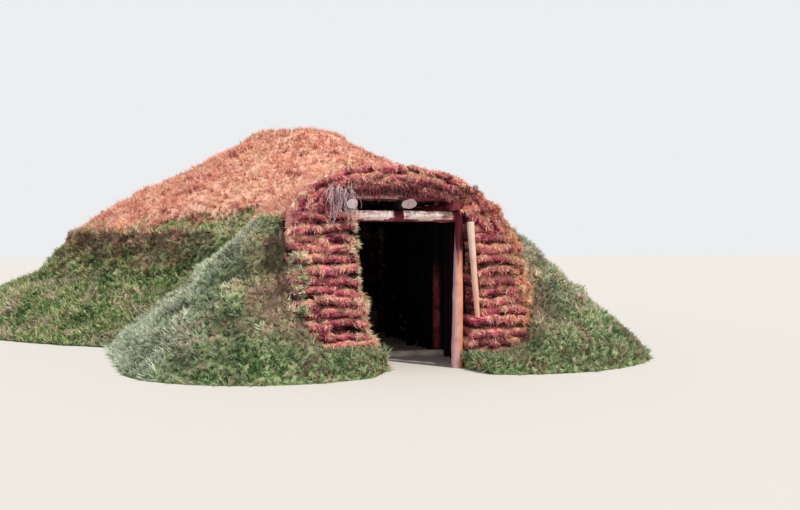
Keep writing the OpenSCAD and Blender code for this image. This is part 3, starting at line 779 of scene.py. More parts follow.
def tuft(blades, length, width, lean, seed):
    """A tuft of pointed blades round the origin, upright, rooted at z 0."""
    dice = random.Random(seed)
    parts = []
    for _ in range(blades):
        deselect()
        bpy.ops.mesh.primitive_circle_add(vertices=3, radius=0.5, fill_type="NGON", calc_uvs=True)
        leaf = bpy.context.object
        size = length * dice.uniform(0.6, 1.25)
        turn = Matrix.Rotation(dice.uniform(0, math.tau), 4, "Z")
        tilt = Matrix.Rotation(dice.uniform(-lean, lean), 4, "X")
        root = Matrix.Translation((dice.uniform(-1, 1) * length * 0.3,
                                   dice.uniform(-1, 1) * length * 0.3, 0))
        flat = [Vector((0, 0, size)), Vector((-width / 2, 0, 0)), Vector((width / 2, 0, 0))]
        along = [1.0, 0.0, 0.0]
        for vertex, place in zip(leaf.data.vertices, flat):
            vertex.co = root @ turn @ tilt @ place
        for corner, loop in zip(leaf.data.uv_layers[0].data, leaf.data.loops):
            corner.uv = (0.5, along[loop.vertex_index])
        parts.append(leaf)
    return join(parts)


def tuft_set(name, count, blades, length, width, lean):
    """A collection of different tufts to scatter."""
    collection = bpy.data.collections.new(name)
    bpy.context.scene.collection.children.link(collection)
    for i in range(count):
        item = tuft(blades, length, width, lean, 100 * i + blades)
        for old in list(item.users_collection):
            old.objects.unlink(item)
        collection.objects.link(item)
    return collection


def drop(collection):
    """Removes a collection of tufts when nothing more is scattered from it."""
    for item in list(collection.objects):
        bpy.data.objects.remove(item)
    bpy.data.collections.remove(collection)


def scatter(ground, name, collection, density, seed, size=(0.7, 1.3), toward=(0, 0, 1), share=0.6,
            sway=0.3, facing=(0, 0, 1), least=0.15, ring=None, keep=(), clump=0.0, where=None):
    """A copy of ground turned into tufts that stand on it.

    density is in tufts to a square metre. A tuft points between square to the ground and toward,
    by share, and sways by up to sway. The ground has to face facing by at least least. ring gives
    the distances from the middle of the room between which tufts root, feathered by a noise, and
    keep gives (axis, from, to) ranges. clump is the size of the heaps that the tufts stand in, and
    without it they are the ground's own. where is an attribute, and between which values of it
    tufts root.
    Blades keep the attribute tone, about 1 on a heap and 0 between heaps.
    """
    grass = ground.copy()
    grass.data = ground.data.copy()
    bpy.context.scene.collection.objects.link(grass)
    tree = bpy.data.node_groups.new(name, "GeometryNodeTree")
    tree.interface.new_socket("Geometry", in_out="INPUT", socket_type="NodeSocketGeometry")
    tree.interface.new_socket("Geometry", in_out="OUTPUT", socket_type="NodeSocketGeometry")
    start = add_node(tree, "NodeGroupInput")
    normal = add_node(tree, "GeometryNodeInputNormal").outputs["Normal"]
    place = add_node(tree, "GeometryNodeInputPosition").outputs["Position"]
    faced = add_node(tree, "ShaderNodeVectorMath", {0: normal, 1: facing}, operation="DOT_PRODUCT")
    chosen = add_node(tree, "FunctionNodeCompare", {0: faced.outputs["Value"], 1: least},
                      data_type="FLOAT", operation="GREATER_THAN").outputs[0]
    parts = add_node(tree, "ShaderNodeSeparateXYZ", {0: place})
    limits = [(parts.outputs[axis], first, last) for axis, first, last in keep]
    if where:
        value = add_node(tree, "GeometryNodeInputNamedAttribute", {"Name": where[0]}, data_type="FLOAT")
        limits.append((value.outputs[0], where[1], where[2]))
    if ring:
        from_middle = add_node(tree, "ShaderNodeVectorMath", {0: place, 1: (0, -ROOM_Y, 0)},
                               operation="ADD")
        level = add_node(tree, "ShaderNodeVectorMath", {0: from_middle.outputs[0], 1: (1, 1, 0)},
                         operation="MULTIPLY")
        away = add_node(tree, "ShaderNodeVectorMath", {0: level.outputs[0]}, operation="LENGTH")
        feather = add_node(tree, "ShaderNodeTexNoise", {"Vector": place, "Scale": 1.8, "Detail": 3.0})
        moved = add_node(tree, "ShaderNodeMath", {0: feather.outputs["Fac"], 1: 1.2,
                                                  2: away.outputs["Value"]}, operation="MULTIPLY_ADD")
        limits.append((moved.outputs[0], ring[0] + 0.6, ring[1] + 0.6))
    for value, first, last in limits:
        for limit, operation in ((first, "GREATER_THAN"), (last, "LESS_THAN")):
            side = add_node(tree, "FunctionNodeCompare", {0: value, 1: limit},
                            data_type="FLOAT", operation=operation)
            chosen = add_node(tree, "FunctionNodeBooleanMath", {0: chosen, 1: side.outputs[0]},
                              operation="AND").outputs[0]
    if clump:
        heaps = add_node(tree, "ShaderNodeTexNoise", {"Vector": place, "Scale": 1 / clump, "Detail": 1.0})
        heap = add_node(tree, "ShaderNodeMapRange", {
            "Value": heaps.outputs["Fac"], "From Min": 0.38, "From Max": 0.62}).outputs[0]
    else:
        heap = add_node(tree, "GeometryNodeInputNamedAttribute", {"Name": "heap"},
                        data_type="FLOAT").outputs[0]
    thick = add_node(tree, "ShaderNodeMapRange", {
        "Value": heap, "To Min": 0.4 * density, "To Max": 1.3 * density}).outputs[0]
    points = add_node(tree, "GeometryNodeDistributePointsOnFaces", {
        "Mesh": start.outputs[0], "Selection": chosen, "Density": thick, "Seed": seed})
    up = add_node(tree, "ShaderNodeMix", {
        0: share, 4: points.outputs["Normal"], 5: toward}, data_type="VECTOR")
    swayed = add_node(tree, "FunctionNodeRandomValue", {
        0: (-sway, -sway, -sway / 2), 1: (sway, sway, sway / 2), "Seed": seed + 1},
        data_type="FLOAT_VECTOR")
    aim = add_node(tree, "ShaderNodeVectorMath", {0: up.outputs[1], 1: swayed.outputs[0]},
                   operation="ADD")
    turned = add_node(tree, "FunctionNodeAlignRotationToVector", {"Vector": aim.outputs[0]}, axis="Z")
    spin = add_node(tree, "FunctionNodeRandomValue", {
        0: (0, 0, 0), 1: (0, 0, math.tau), "Seed": seed + 2}, data_type="FLOAT_VECTOR")
    spin = add_node(tree, "FunctionNodeEulerToRotation", {0: spin.outputs[0]})
    turned = add_node(tree, "FunctionNodeRotateRotation", {
        0: turned.outputs[0], 1: spin.outputs[0]}, rotation_space="LOCAL")
    chance = add_node(tree, "FunctionNodeRandomValue", {2: size[0], 3: size[1], "Seed": seed + 3},
                      data_type="FLOAT")
    grown = add_node(tree, "ShaderNodeMapRange", {"Value": heap, "To Min": 0.7, "To Max": 1.15})
    scale = add_node(tree, "ShaderNodeMath", {0: chance.outputs[1], 1: grown.outputs[0]},
                     operation="MULTIPLY")
    source = add_node(tree, "GeometryNodeCollectionInfo", {
        "Collection": collection, "Separate Children": True, "Reset Children": True})
    tufts = add_node(tree, "GeometryNodeInstanceOnPoints", {
        "Points": points.outputs["Points"], "Instance": source.outputs[0], "Pick Instance": True,
        "Rotation": turned.outputs[0], "Scale": scale.outputs[0]})
    chance = add_node(tree, "FunctionNodeRandomValue", {2: -0.3, 3: 0.3, "Seed": seed + 4},
                      data_type="FLOAT")
    tone = add_node(tree, "ShaderNodeMath", {0: heap, 1: chance.outputs[1]}, operation="ADD",
                    use_clamp=True)
    toned = add_node(tree, "GeometryNodeStoreNamedAttribute", {
        "Geometry": tufts.outputs[0], "Name": "tone", "Value": tone.outputs[0]},
        data_type="FLOAT", domain="INSTANCE")
    real = add_node(tree, "GeometryNodeRealizeInstances", {0: toned.outputs[0]})
    add_node(tree, "NodeGroupOutput", {0: real.outputs[0]})
    grass.modifiers.new(name, "NODES").node_group = tree
    apply_all(grass)
    bpy.data.node_groups.remove(tree)
    # No blade reaches into the floor, or far over the ring round the smoke hole
    for vertex in grass.data.vertices:
        vertex.co.z = clamp(vertex.co.z, BLADES_CLEAR, MOUND_H + BLADES_OVER)
    return grass


def grow(name, finish, slot, ground, collection, density, seed, **ways):
    """Scatters tufts over ground as a finished piece, in the ways that scatter takes."""
    return settle(scatter(ground, name, collection, density, seed, **ways), name, finish, slot)


# The ground under the grass

def choose(item, test):
    """Goes into edit mode with the vertices selected whose place passes the test."""
    pick(item)
    bpy.ops.object.mode_set(mode="EDIT")
    bpy.ops.mesh.select_mode(type="VERT")
    bpy.ops.mesh.select_all(action="DESELECT")
    bpy.ops.object.mode_set(mode="OBJECT")
    for vertex in item.data.vertices:
        vertex.select = test(vertex.co)
    bpy.ops.object.mode_set(mode="EDIT")


def from_room(place):
    """Distance from the middle of the room, seen from above."""
    return math.hypot(place.x, place.y - ROOM_Y)


def turf_on_roof(place):
    """How far turf has crept over the eaves there: over 0.5 it is turf, up to 1.

    It climbs towards the passage, and its edge is ragged.
    """
    if place.y > ROOM_Y:
        return 0.0
    edge = EAVE_R - min(0.8, 0.25 * max(0.0, 4.0 - abs(place.x)))
    ragged = 0.5 * noise.noise(place * 1.7) + 0.3 * noise.noise(place * 6)
    return clamp(0.5 + (from_room(place) - edge) / 0.4 + ragged)


def on_outside(place):
    """Whether a place lies on the mound's surface."""
    return place.z > outside_z(from_room(place)) - 0.03


def flatten_foot(item):
    """Keeps a displaced skin on the ground."""
    for vertex in item.data.vertices:
        vertex.co.z = max(vertex.co.z, 0.0)


def slump(item):
    """Lowers the group outer outside the eaves, where the earth has sunk.

    Its foot is fuller than the plain solid, and so is the roof's right side.
    """
    for vertex in item.data.vertices:
        if vertex.groups:
            away = from_room(vertex.co)
            vertex.co.z -= EAVE_SAG[0] * bell(away, *EAVE_SAG[1:])
            vertex.co.z += FOOT_SWELL[0] * bell(away, *FOOT_SWELL[1:]) * min(1.0, vertex.co.z / 0.3)
            vertex.co.z += ROOF_SWELL[0] * bell(away, *ROOF_SWELL[1:]) * max(0.0, vertex.co.x / (away + 0.1))


def settle_lumps(item, reach):
    """Applies the lumps, and keeps as the attribute heap how far each place was pushed out.

    heap is 0 where it went in by reach, and 1 where it came out by reach.
    """
    before = [(vertex.co.copy(), vertex.normal.copy()) for vertex in item.data.vertices]
    apply_all(item)
    pushed = [(vertex.co - place).dot(normal) for vertex, (place, normal) in zip(item.data.vertices, before)]
    middle = sum(pushed) / len(pushed)
    add_values(item, "heap", [clamp(0.5 + (push - middle) / (2 * reach)) for push in pushed])


def mound_core():
    """The mound as a plain solid, a little smaller, for cutting away what meets it."""
    outline = [Vector((0.0, -1.0)), Vector((MOUND_R - TUCKED, -1.0))]
    outline += [Vector((p.x - TUCKED, p.y)) for p in BANK_OUTLINE]
    outline += [Vector((COLLAR_R, COLLAR_H - TUCKED)), Vector((0.0, COLLAR_H - TUCKED))]
    ring = line_of([(p.x, ROOM_Y, p.y) for p in outline], closed=False)
    bpy.ops.mesh.spin(steps=96, angle=math.tau, center=(0, ROOM_Y, 0), axis=(0, 0, 1))
    bpy.ops.object.mode_set(mode="OBJECT")
    recalculate(ring)
    return ring


def bank_skin():
    """The turf bank's ground, a whole ring, from which the passage is cut afterwards."""
    outer = refine(BANK_OUTLINE, 0.09)
    inner = [Vector((EAVE_R, under_z(EAVE_R))), Vector((BANK_HEAD_IN, under_z(BANK_HEAD_IN))),
             Vector((BANK_FOOT_IN, 0))]
    return spun(outer + inner, 420)


def roof_skin():
    """The dry grass roof's body, with the collar round the smoke hole."""
    top = refine([Vector((EAVE_R, EAVE_H))] + COLLAR_OUTLINE, 0.09)
    inner = [Vector((SMOKE_R, under_z(SMOKE_R))), Vector((EAVE_R, under_z(EAVE_R)))]
    return spun(top + inner, 300)


def berm_skin(side, spread, nose, fall, toe):
    """A berm's ground: a round nose, and a flank that runs back into the mound.

    Its ridge falls by fall towards the mound, and its foot is fuller by toe. The left one's outer
    flank reaches further out.
    """
    bend = (BERM_BEND[0] * spread, BERM_BEND[1] * BERM_H)
    slope = curve_points((spread, 0), bend, (BERM_TOP, BERM_H), 12)
    half = refine([Vector((0, 0)), Vector((spread - 0.1, 0))], 0.3)
    half += refine(slope + [Vector((0, BERM_H))], 0.09)
    skin = line_of([(p.x, 0, p.y) for p in half], closed=False)
    bpy.ops.mesh.spin(steps=60, angle=math.pi, center=(0, 0, 0), axis=(0, 0, 1))
    bpy.ops.object.mode_set(mode="OBJECT")
    recalculate(skin)
    length = ROOM_Y - DOOR_Y - nose - EAVE_R + 0.6
    steps = round(length / 0.1)
    choose(skin, lambda p: abs(p.y) < 1e-4)
    for _ in range(steps):
        bpy.ops.mesh.extrude_region_move(
            TRANSFORM_OT_translate={"value": (0, length / steps, 0)})
    bpy.ops.mesh.edge_face_add()
    bpy.ops.object.mode_set(mode="OBJECT")
    recalculate(skin)
    for vertex in skin.data.vertices:
        away = math.hypot(vertex.co.x, min(vertex.co.y, 0.0))
        vertex.co.z *= 1 - fall * max(0.0, vertex.co.y)
        vertex.co.z += toe * bell(away, spread - 0.35, 0.3) * min(1.0, vertex.co.z / 0.15)
        if side < 0 and vertex.co.x < 0:
            vertex.co.x *= 1.1
    turn = Matrix.Rotation(-side * BERM_FLARE, 4, "Z")
    skin.data.transform(Matrix.Translation((side * BERM_X, DOOR_Y + nose, 0)) @ turn)
    return skin


def clear_front(berm, side, apron):
    """Cuts away the ground in front of the sods, above the heights in apron, and the way in."""
    low = [height - GRASS_OVER for height in apron]
    outline = [(0, low[2]), ((ARCH_HALF + JAMB_X) / 2, low[1]), (ARCH_HALF, low[0]),
               (ARCH_HALF + 0.16, 4), (0, 4)]
    way = line_of([(-0.33, DOOR_Y + 0.03, -1), (-1.05, DOOR_Y - 1.2, -1), (0.96, DOOR_Y - 1.2, -1),
                   (0.70, DOOR_Y + 0.03, -1)])
    bpy.ops.mesh.edge_face_add()
    bpy.ops.mesh.extrude_region_move(TRANSFORM_OT_translate={"value": (0, 0, 4)})
    bpy.ops.object.mode_set(mode="OBJECT")
    recalculate(way)
    cut(berm, way)
    cut(berm, upright_slab([(side * x, z) for x, z in outline], DOOR_Y - 4.1, DOOR_Y + 0.01))


def cover_skin():
    """The ground over the passage, rounded like the sod front."""
    skin = line_of([(x, DOOR_Y + PIER_DEPTH - 0.05, z) for x, z in arch_outline(PLATE_H - 0.1)])
    bpy.ops.mesh.edge_face_add()
    for _ in range(60):
        bpy.ops.mesh.extrude_region_move(TRANSFORM_OT_translate={"value": (0, 0.1, 0)})
    bpy.ops.object.mode_set(mode="OBJECT")
    recalculate(skin)
    return skin


# Sods

def sod_template():
    """A cut sod as a divided block of size 1, to copy, finest along its length."""
    deselect()
    bpy.ops.mesh.primitive_cube_add(size=1)
    item = bpy.context.object
    bpy.ops.object.mode_set(mode="EDIT")
    bpy.ops.mesh.subdivide(number_cuts=5)
    bpy.ops.mesh.select_mode(type="EDGE")
    bpy.ops.mesh.select_all(action="DESELECT")
    bpy.ops.object.mode_set(mode="OBJECT")
    places = [vertex.co.x for vertex in item.data.vertices]
    for edge in item.data.edges:
        edge.select = abs(places[edge.vertices[0]] - places[edge.vertices[1]]) > 0.01
    bpy.ops.object.mode_set(mode="EDIT")
    bpy.ops.mesh.subdivide(number_cuts=3)
    bpy.ops.mesh.select_mode(type="VERT")
    bpy.ops.object.mode_set(mode="OBJECT")
    return item


def lay_sod(template, middle, length, height, tilt, dice, out=0.0, depth=0.42, droop=0.03):
    """A copy of the template laid with its face at middle (x, z), drooping at its lip and ends.

    It keeps the attributes tone, its own shade, and rise, from 0 at its underside to 1 on top.
    """
    item = template.copy()
    item.data = template.data.copy()
    bpy.context.scene.collection.objects.link(item)
    shift = dice.uniform(0, 90)
    proud = out + dice.uniform(-0.02, 0.06)
    hang = droop * dice.uniform(0.5, 1.5)
    sag = height * dice.uniform(-0.15, 0.55)
    wave = dice.uniform(0.008, 0.02)
    turn = Matrix.Rotation(-tilt, 3, "Y")
    tone = dice.random()
    rise = []
    for vertex in item.data.vertices:
        across, back, up = vertex.co
        rise.append(up + 0.5)
        end = abs(2 * across) ** 3
        lip = (0.5 - back) ** 2
        edge = abs(2 * up) ** 4 * (1.4 if up < 0 else 0.6)
        ragged = 0.06 * noise.noise(Vector((across * length * 11 + shift, 0, up)))
        x = across * length
        y = (back + 0.5) * depth - (proud + ragged) * lip + 0.075 * edge * lip + 0.02 * end * lip
        z = up * height * (1 - 0.1 * end) - hang * lip - sag * end * lip
        z += wave * math.sin(10 * across * length + shift)
        spot = Vector((x * 8 + shift, y * 8, z * 14))
        rough = noise.noise_vector(spot) * 0.018 + noise.noise_vector(spot * 2.9) * 0.016
        place = turn @ (Vector((x, y, z)) + rough)
        vertex.co = place + Vector((middle[0], DOOR_Y + 0.02, middle[1]))
        vertex.co.z = max(vertex.co.z, 0.0)
    add_values(item, "tone", [tone] * len(rise))
    add_values(item, "rise", rise)
    return item


def jamb_x(side, z):
    """Place of the doorway's edge at height z, as a distance from the middle."""
    line = RIGHT_JAMB if side > 0 else LEFT_JAMB
    for (low, near), (high, far) in zip(line, line[1:]):
        if z <= high:
            return near + (far - near) * (z - low) / (high - low)
    return line[-1][1]


def row_of_sods(template, first, last, z, height, dice, longest, out=0.0):
    """Sods side by side from place first to place last, in one course."""
    count = max(1, math.ceil((last - first) / longest))
    ends = [first + (last - first) * i / count for i in range(count + 1)]
    for i in range(1, count):
        ends[i] += dice.uniform(-0.15, 0.15)
    laid = []
    for a, b in zip(ends, ends[1:]):
        place = ((a + b) / 2, z + 0.55 * height + dice.uniform(-0.016, 0.016))
        laid.append(lay_sod(template, place, b - a + 0.06, height * dice.uniform(0.75, 1.05),
                            dice.uniform(-0.10, 0.10), dice, out))
    return laid


def earth_core(floor, spaces):
    """Earth behind the sods, nearly black as painted shade, in the front's own outline, from floor up and
    without spaces.
    """
    core = upright_slab(arch_outline(-0.5, TUCKED), DOOR_Y + 0.10, DOOR_Y + PIER_DEPTH)
    cut(core, block((-3, DOOR_Y - 1, floor - 4), (3, DOOR_Y + 1, floor)))
    for low, high in spaces:
        cut(core, block(low, high))
    add_values(core, "tone", [-1.0] * len(core.data.vertices))
    add_values(core, "rise", [0.5] * len(core.data.vertices))
    return core


def shoulder(template, side, first, last, dice):
    """Long sods that sweep down the sod front's rounded side, between two angles in degrees."""
    laid = []
    for layer in range(3):
        inset = 0.05 + 0.11 * layer
        steps = round((last - first) / 17)
        for step in range(steps):
            turn = math.radians(first + (last - first) * (step + 0.35 * layer) / steps)
            x, z = arch_point(side, turn, inset)
            ahead = arch_point(side, turn + 0.02, inset)
            tilt = math.atan2(ahead[1] - z, ahead[0] - x)
            if side > 0:
                tilt += math.pi
            laid.append(lay_sod(template, (x, z), dice.uniform(0.42, 0.6), dice.uniform(0.09, 0.13),
                                tilt + dice.uniform(-0.12, 0.12), dice, droop=0.01))
    return laid


def bundle(name, places, blades, length, width, dice, out):
    """Dry stalks that hang from each of the given places and lean out to the front."""
    parts = []
    for place in places:
        item = tuft(blades, length * dice.uniform(0.7, 1.3), width, out, dice.randrange(1000))
        turn = Matrix.Rotation(math.pi + dice.uniform(-0.3, 0.3), 4, "X")
        item.data.transform(Matrix.Translation(place) @ turn)
        parts.append(item)
    stalks = join(parts)
    stalks.name = name
    add_values(stalks, "tone", [0.5] * len(stalks.data.vertices))
    return stalks


def strands(name, count, dice):
    """Long pale roots that hang beside the left roof pole, each a bent ribbon that thins out."""
    parts = []
    for _ in range(count):
        deselect()
        bpy.ops.mesh.primitive_grid_add(x_subdivisions=1, y_subdivisions=7, size=1, calc_uvs=True)
        ribbon = bpy.context.object
        share = dice.random()
        start = Vector((-1.18 + 0.32 * share, DOOR_Y - dice.uniform(0.05, 0.12), dice.uniform(2.26, 2.46)))
        length = dice.uniform(0.18, 0.42)
        drift = dice.uniform(-0.12, 0.10) + 0.08 * share
        curl = dice.uniform(0.01, 0.035)
        phase = dice.uniform(0, math.tau)
        width = dice.uniform(0.008, 0.016)
        for vertex in ribbon.data.vertices:
            along = vertex.co.y + 0.5
            thin = width * (1 - 0.8 * along ** 2)
            vertex.co = start + Vector((
                drift * along + curl * math.sin(5 * along + phase) + vertex.co.x * thin,
                -0.04 * math.sin(math.pi * along) + curl * math.cos(4 * along + phase),
                -length * along))
        parts.append(ribbon)
    roots = join(parts)
    roots.name = name
    add_values(roots, "tone", [0.8] * len(roots.data.vertices))
    return roots


# Timber

def timber(name, start, end, radius, seed, knots=3, taper=(1.0, 1.0), rough=0.04, slant=0.0):
    """A peeled or barked log between two points, uneven, with a few knots.

    taper scales its radius at the start and at the end, and slant is how far the end is cut askew.
    Also gives which faces are sawn ends.
    """
    dice = random.Random(seed)
    start, end = Vector(start), Vector(end)
    length = (end - start).length
    rings = max(6, round(length / 0.07))
    deselect()
    bpy.ops.mesh.primitive_circle_add(vertices=20, radius=radius, fill_type="NOTHING")
    log = bpy.context.object
    bpy.ops.object.mode_set(mode="EDIT")
    bpy.ops.mesh.select_all(action="SELECT")
    for _ in range(rings):
        bpy.ops.mesh.extrude_region_move(TRANSFORM_OT_translate={"value": (0, 0, length / rings)})
    for z in (0.0, length):
        choose(log, lambda p: abs(p.z - z) < 1e-4)
        for shrink in (0.9, 0.7, 0.5, 0.3):
            bpy.ops.mesh.extrude_region_move()
            bpy.ops.transform.resize(value=(shrink, shrink, 1))
        bpy.ops.mesh.edge_face_add()
    bpy.ops.object.mode_set(mode="OBJECT")
    recalculate(log)
    caps = [len({round(log.data.vertices[v].co.z, 4) for v in p.vertices}) == 1
            for p in log.data.polygons]
    spots = [(dice.uniform(0.08, 0.92) * length, dice.uniform(0, math.tau), dice.uniform(0.1, 0.28))
             for _ in range(knots)]
    shift = dice.uniform(0, 50)
    for vertex in log.data.vertices:
        x, y, z = vertex.co
        turn = math.atan2(y, x)
        swell = 1 + rough * noise.noise(Vector((2 * math.cos(turn) + shift, 2 * math.sin(turn), 1.5 * z)))
        swell += 0.5 * rough * noise.noise(Vector((5 * x / radius, 5 * y / radius, 9 * z + shift)))
        for height, side, size in spots:
            near = ((z - height) / 0.05) ** 2
            near += ((math.remainder(turn - side, math.tau)) / 0.5) ** 2
            swell += size * math.exp(-near)
        swell *= taper[0] + (taper[1] - taper[0]) * z / length
        if slant and z > length - 0.2:
            z += slant * x / radius
        vertex.co = Vector((x * swell, y * swell, z))
    way = (end - start).to_track_quat("Z", "Y").to_matrix().to_4x4()
    log.data.transform(Matrix.Translation(start) @ way)
    bpy.ops.object.shade_smooth_by_angle(angle=math.radians(50))
    log.name = name
    return log, caps


def finish_timber(log, caps, finish, slot, *replaced, bark="", barked=None):
    """Gives a log its bark or bare wood, its ends the sawn wood, and other bark where barked says, which here
    is also painted shade.
    """
    settle(log, log.name, finish, slot, *replaced)
    log.data.materials.append(finish_of("end_grain"))
    if bark:
        log.data.materials.append(finish_of(bark))
    for face, cap in zip(log.data.polygons, caps):
        face.material_index = 1 if cap else 0
        if bark and not cap and barked(face.center):
            face.material_index = 2
    return log


# Operators

class LODGE_OT_mound(bpy.types.Operator):
    """Make the ground of the bank and the body of the roof"""

    bl_idname = "lodge.mound"
    bl_label = "Mound"

    def execute(self, context):
        bank = bank_skin()
        clear_passage(bank)
        # The packed earth has sunk most at the eaves
        weigh(bank, lambda p: on_outside(p)
              * min(0.65 + 0.8 * (from_room(p) - EAVE_R), max(0.4, 1 - 0.35 * (from_room(p) - EAVE_R)))
              if from_room(p) > EAVE_R - 0.01 else 0.0)
        slump(bank)
        lumps(bank, "hummocks", 0.5, 0.30, EAVE_SUNK)
        lumps(bank, "clods", 0.22, 0.14)
        settle_lumps(bank, 0.09)
        # Dry under the eaves, but not where the turf climbs beside the passage
        edged = [1.0 if vertex.co.y > ROOM_Y else clamp((abs(vertex.co.x) - 1.5) / 2.5, 0.1)
                 for vertex in bank.data.vertices]
        add_values(bank, "edged", edged)
        add_values(bank, "dry", [share * clamp(0.8 - 2.4 * (from_room(vertex.co) - EAVE_R))
                                 for share, vertex in zip(edged, bank.data.vertices)])
        flatten_foot(bank)
        bpy.ops.object.shade_smooth()
        settle(bank, "bank_ground", "turf_ground", "turf", *BANKS)
        roof = roof_skin()
        clear_passage(roof)
        weigh(roof, lambda p: 1.0 if on_outside(p) or p.z > COLLAR_H else 0.0)
        slump(roof)
        lumps(roof, "swells", 0.6, 0.10, EAVE_SUNK)
        lumps(roof, "sheaves", 0.2, 0.09)
        settle_lumps(roof, 0.04)
        add_values(roof, "turf", [turf_on_roof(vertex.co) for vertex in roof.data.vertices])
        bpy.ops.object.shade_smooth()
        settle(roof, "roof_body", "thatch_ground", "thatch", *ROOFS, "smoke_hole_collar")
        return {"FINISHED"}


class LODGE_OT_berms(bpy.types.Operator):
    """Make the ground of the berms and of the cover over the passage"""

    bl_idname = "lodge.berms"
    bl_label = "Berms"

    def execute(self, context):
        for side, spread, nose, fall, toe, apron, name in (
                (-1, LEFT_SPREAD, LEFT_NOSE, LEFT_FALL, 0.04, LEFT_APRON, "berm_left"),
                (1, RIGHT_SPREAD, RIGHT_NOSE, 0.0, 0.11, RIGHT_APRON, "berm_right")):
            berm = berm_skin(side, spread, nose, fall, toe)
            # Cut while it is smooth, because a solid that crosses itself can't be cut
            clear_front(berm, side, apron)
            cut(berm, upright_slab(arch_outline(-0.5, TUCKED), DOOR_Y - 0.02, ROOM_Y))
            cut(berm, mound_core())
            weigh(berm, lambda p: 0.4 + p.z if p.z > 0.01 else 0.0)
            outward = [side * vertex.normal.x / max(0.05, math.hypot(vertex.normal.x, vertex.normal.y))
                       for vertex in berm.data.vertices]
            places = [vertex.co.copy() for vertex in berm.data.vertices]
            lumps(berm, name + "_hummocks", 0.45, 0.22, GRASS_OVER)
            lumps(berm, name + "_clods", 0.2, 0.10)
            settle_lumps(berm, 0.065)
            flatten_foot(berm)
            # The left flank, where it faces outwards, and the upper part of the right one are paler
            if side < 0:
                add_values(berm, "pale", [clamp(3 * (share - 0.5)) for share in outward])
            else:
                add_values(berm, "pale", [clamp(place.z - 0.7) for place in places])
            # The foot of both is deep green
            add_values(berm, "lush", [clamp(1.5 - 2 * place.z) for place in places])
            # The turf is dry and pink close to the stacked sods
            add_values(berm, "dry", [
                clamp(1.3 - 1.3 * (side * place.x - 1.4), 0.0, 0.8) * clamp(1.6 * place.z - 0.5)
                * clamp(2.2 - place.z, 0.2) for place in places])
            pick(berm)
            bpy.ops.object.shade_smooth()
            settle(berm, name + "_ground", "turf_ground", "turf", name)
        cover = cover_skin()
        weigh(cover, lambda p: 1.0 if p.z > PLATE_H else 0.0)
        lumps(cover, "cover_sheaves", 0.2, 0.08, 0.03)
        settle_lumps(cover, 0.03)
        clear_passage(cover)
        cut(cover, mound_core())
        pick(cover)
        bpy.ops.object.shade_smooth()
        settle(cover, "cover_ground", "thatch_ground", "thatch", "passage_cover")
        return {"FINISHED"}


class LODGE_OT_grass(bpy.types.Operator):
    """Grow the living grass on the bank and the berms"""

    bl_idname = "lodge.grass"
    bl_label = "Living grass"

    def execute(self, context):
        settings = context.scene.lodge
        tufts = tuft_set("grass_tufts", 8, 7, settings.grass_length, 0.024, 0.7)
        bank = bpy.data.objects["bank_ground"]
        for side, keep, seed in (("left", (0, -FAR, 0), 11), ("right", (0, 0, FAR), 12)):
            grow(f"bank_grass_{side}", "bank_grass", "turf", bank, tufts, 0.5 * settings.grass_tufts, seed,
                 size=(0.8, 1.6), share=0.3, sway=0.9, ring=(EAVE_R - 0.1, FAR), keep=[keep])
        for side, seed in (("left", 21), ("right", 22)):
            ground = bpy.data.objects[f"berm_{side}_ground"]
            grow(f"berm_{side}_grass", "berm_grass", "turf", ground, tufts, 0.88 * settings.grass_tufts, seed,
                 size=(0.55, 1.15), share=0.3, sway=0.9, least=-0.05)
        # The turf climbs onto the roof beside the passage
        grow("roof_turf", "bank_grass", "turf", bpy.data.objects["roof_body"], tufts,
             0.45 * settings.grass_tufts, 13, share=0.3, sway=0.9, where=("turf", 0.5, FAR))
        drop(tufts)
        return {"FINISHED"}


class LODGE_OT_thatch(bpy.types.Operator):
    """Lay the dry grass on the roof, the collar and the cover of the passage"""

    bl_idname = "lodge.thatch"
    bl_label = "Dry grass"

    def execute(self, context):
        settings = context.scene.lodge
        tufts = tuft_set("thatch_tufts", 8, 7, settings.thatch_length, 0.018, 0.9)
        roof = bpy.data.objects["roof_body"]
        for side, keep, seed in (("left", (0, -FAR, 0), 31), ("right", (0, 0, FAR), 32)):
            grow(f"roof_grass_{side}", "dry_grass", "thatch", roof, tufts, 0.72 * settings.thatch_tufts, seed,
                 share=0.1, sway=0.8, size=(0.75, 1.35), keep=[keep], where=("turf", -FAR, 0.6))
        bank = bpy.data.objects["bank_ground"]
        for name, first, last, finish, density, seed in (
                ("rim_grass", EAVE_R - 0.1, EAVE_R + 0.08, "dry_grass", 0.8, 33),
                ("edge_grass", EAVE_R, EAVE_R + 0.5, "rim_grass", 0.7, 35)):
            grow(name, finish, "thatch", bank, tufts, density * settings.thatch_tufts, seed, share=0.1,
                 sway=0.8, ring=(first, last), where=("edged", 0.5, FAR))
        grow("roof_rim", "rim_grass", "thatch", roof, tufts, settings.thatch_tufts, 36, share=0.1, sway=0.8,
             where=("turf", 0.3, 0.65))
        grow("cover_grass", "dry_grass", "thatch", bpy.data.objects["cover_ground"], tufts,
             settings.thatch_tufts, 34, share=0.1, sway=0.7, size=(0.7, 1.2))
        drop(tufts)
        return {"FINISHED"}


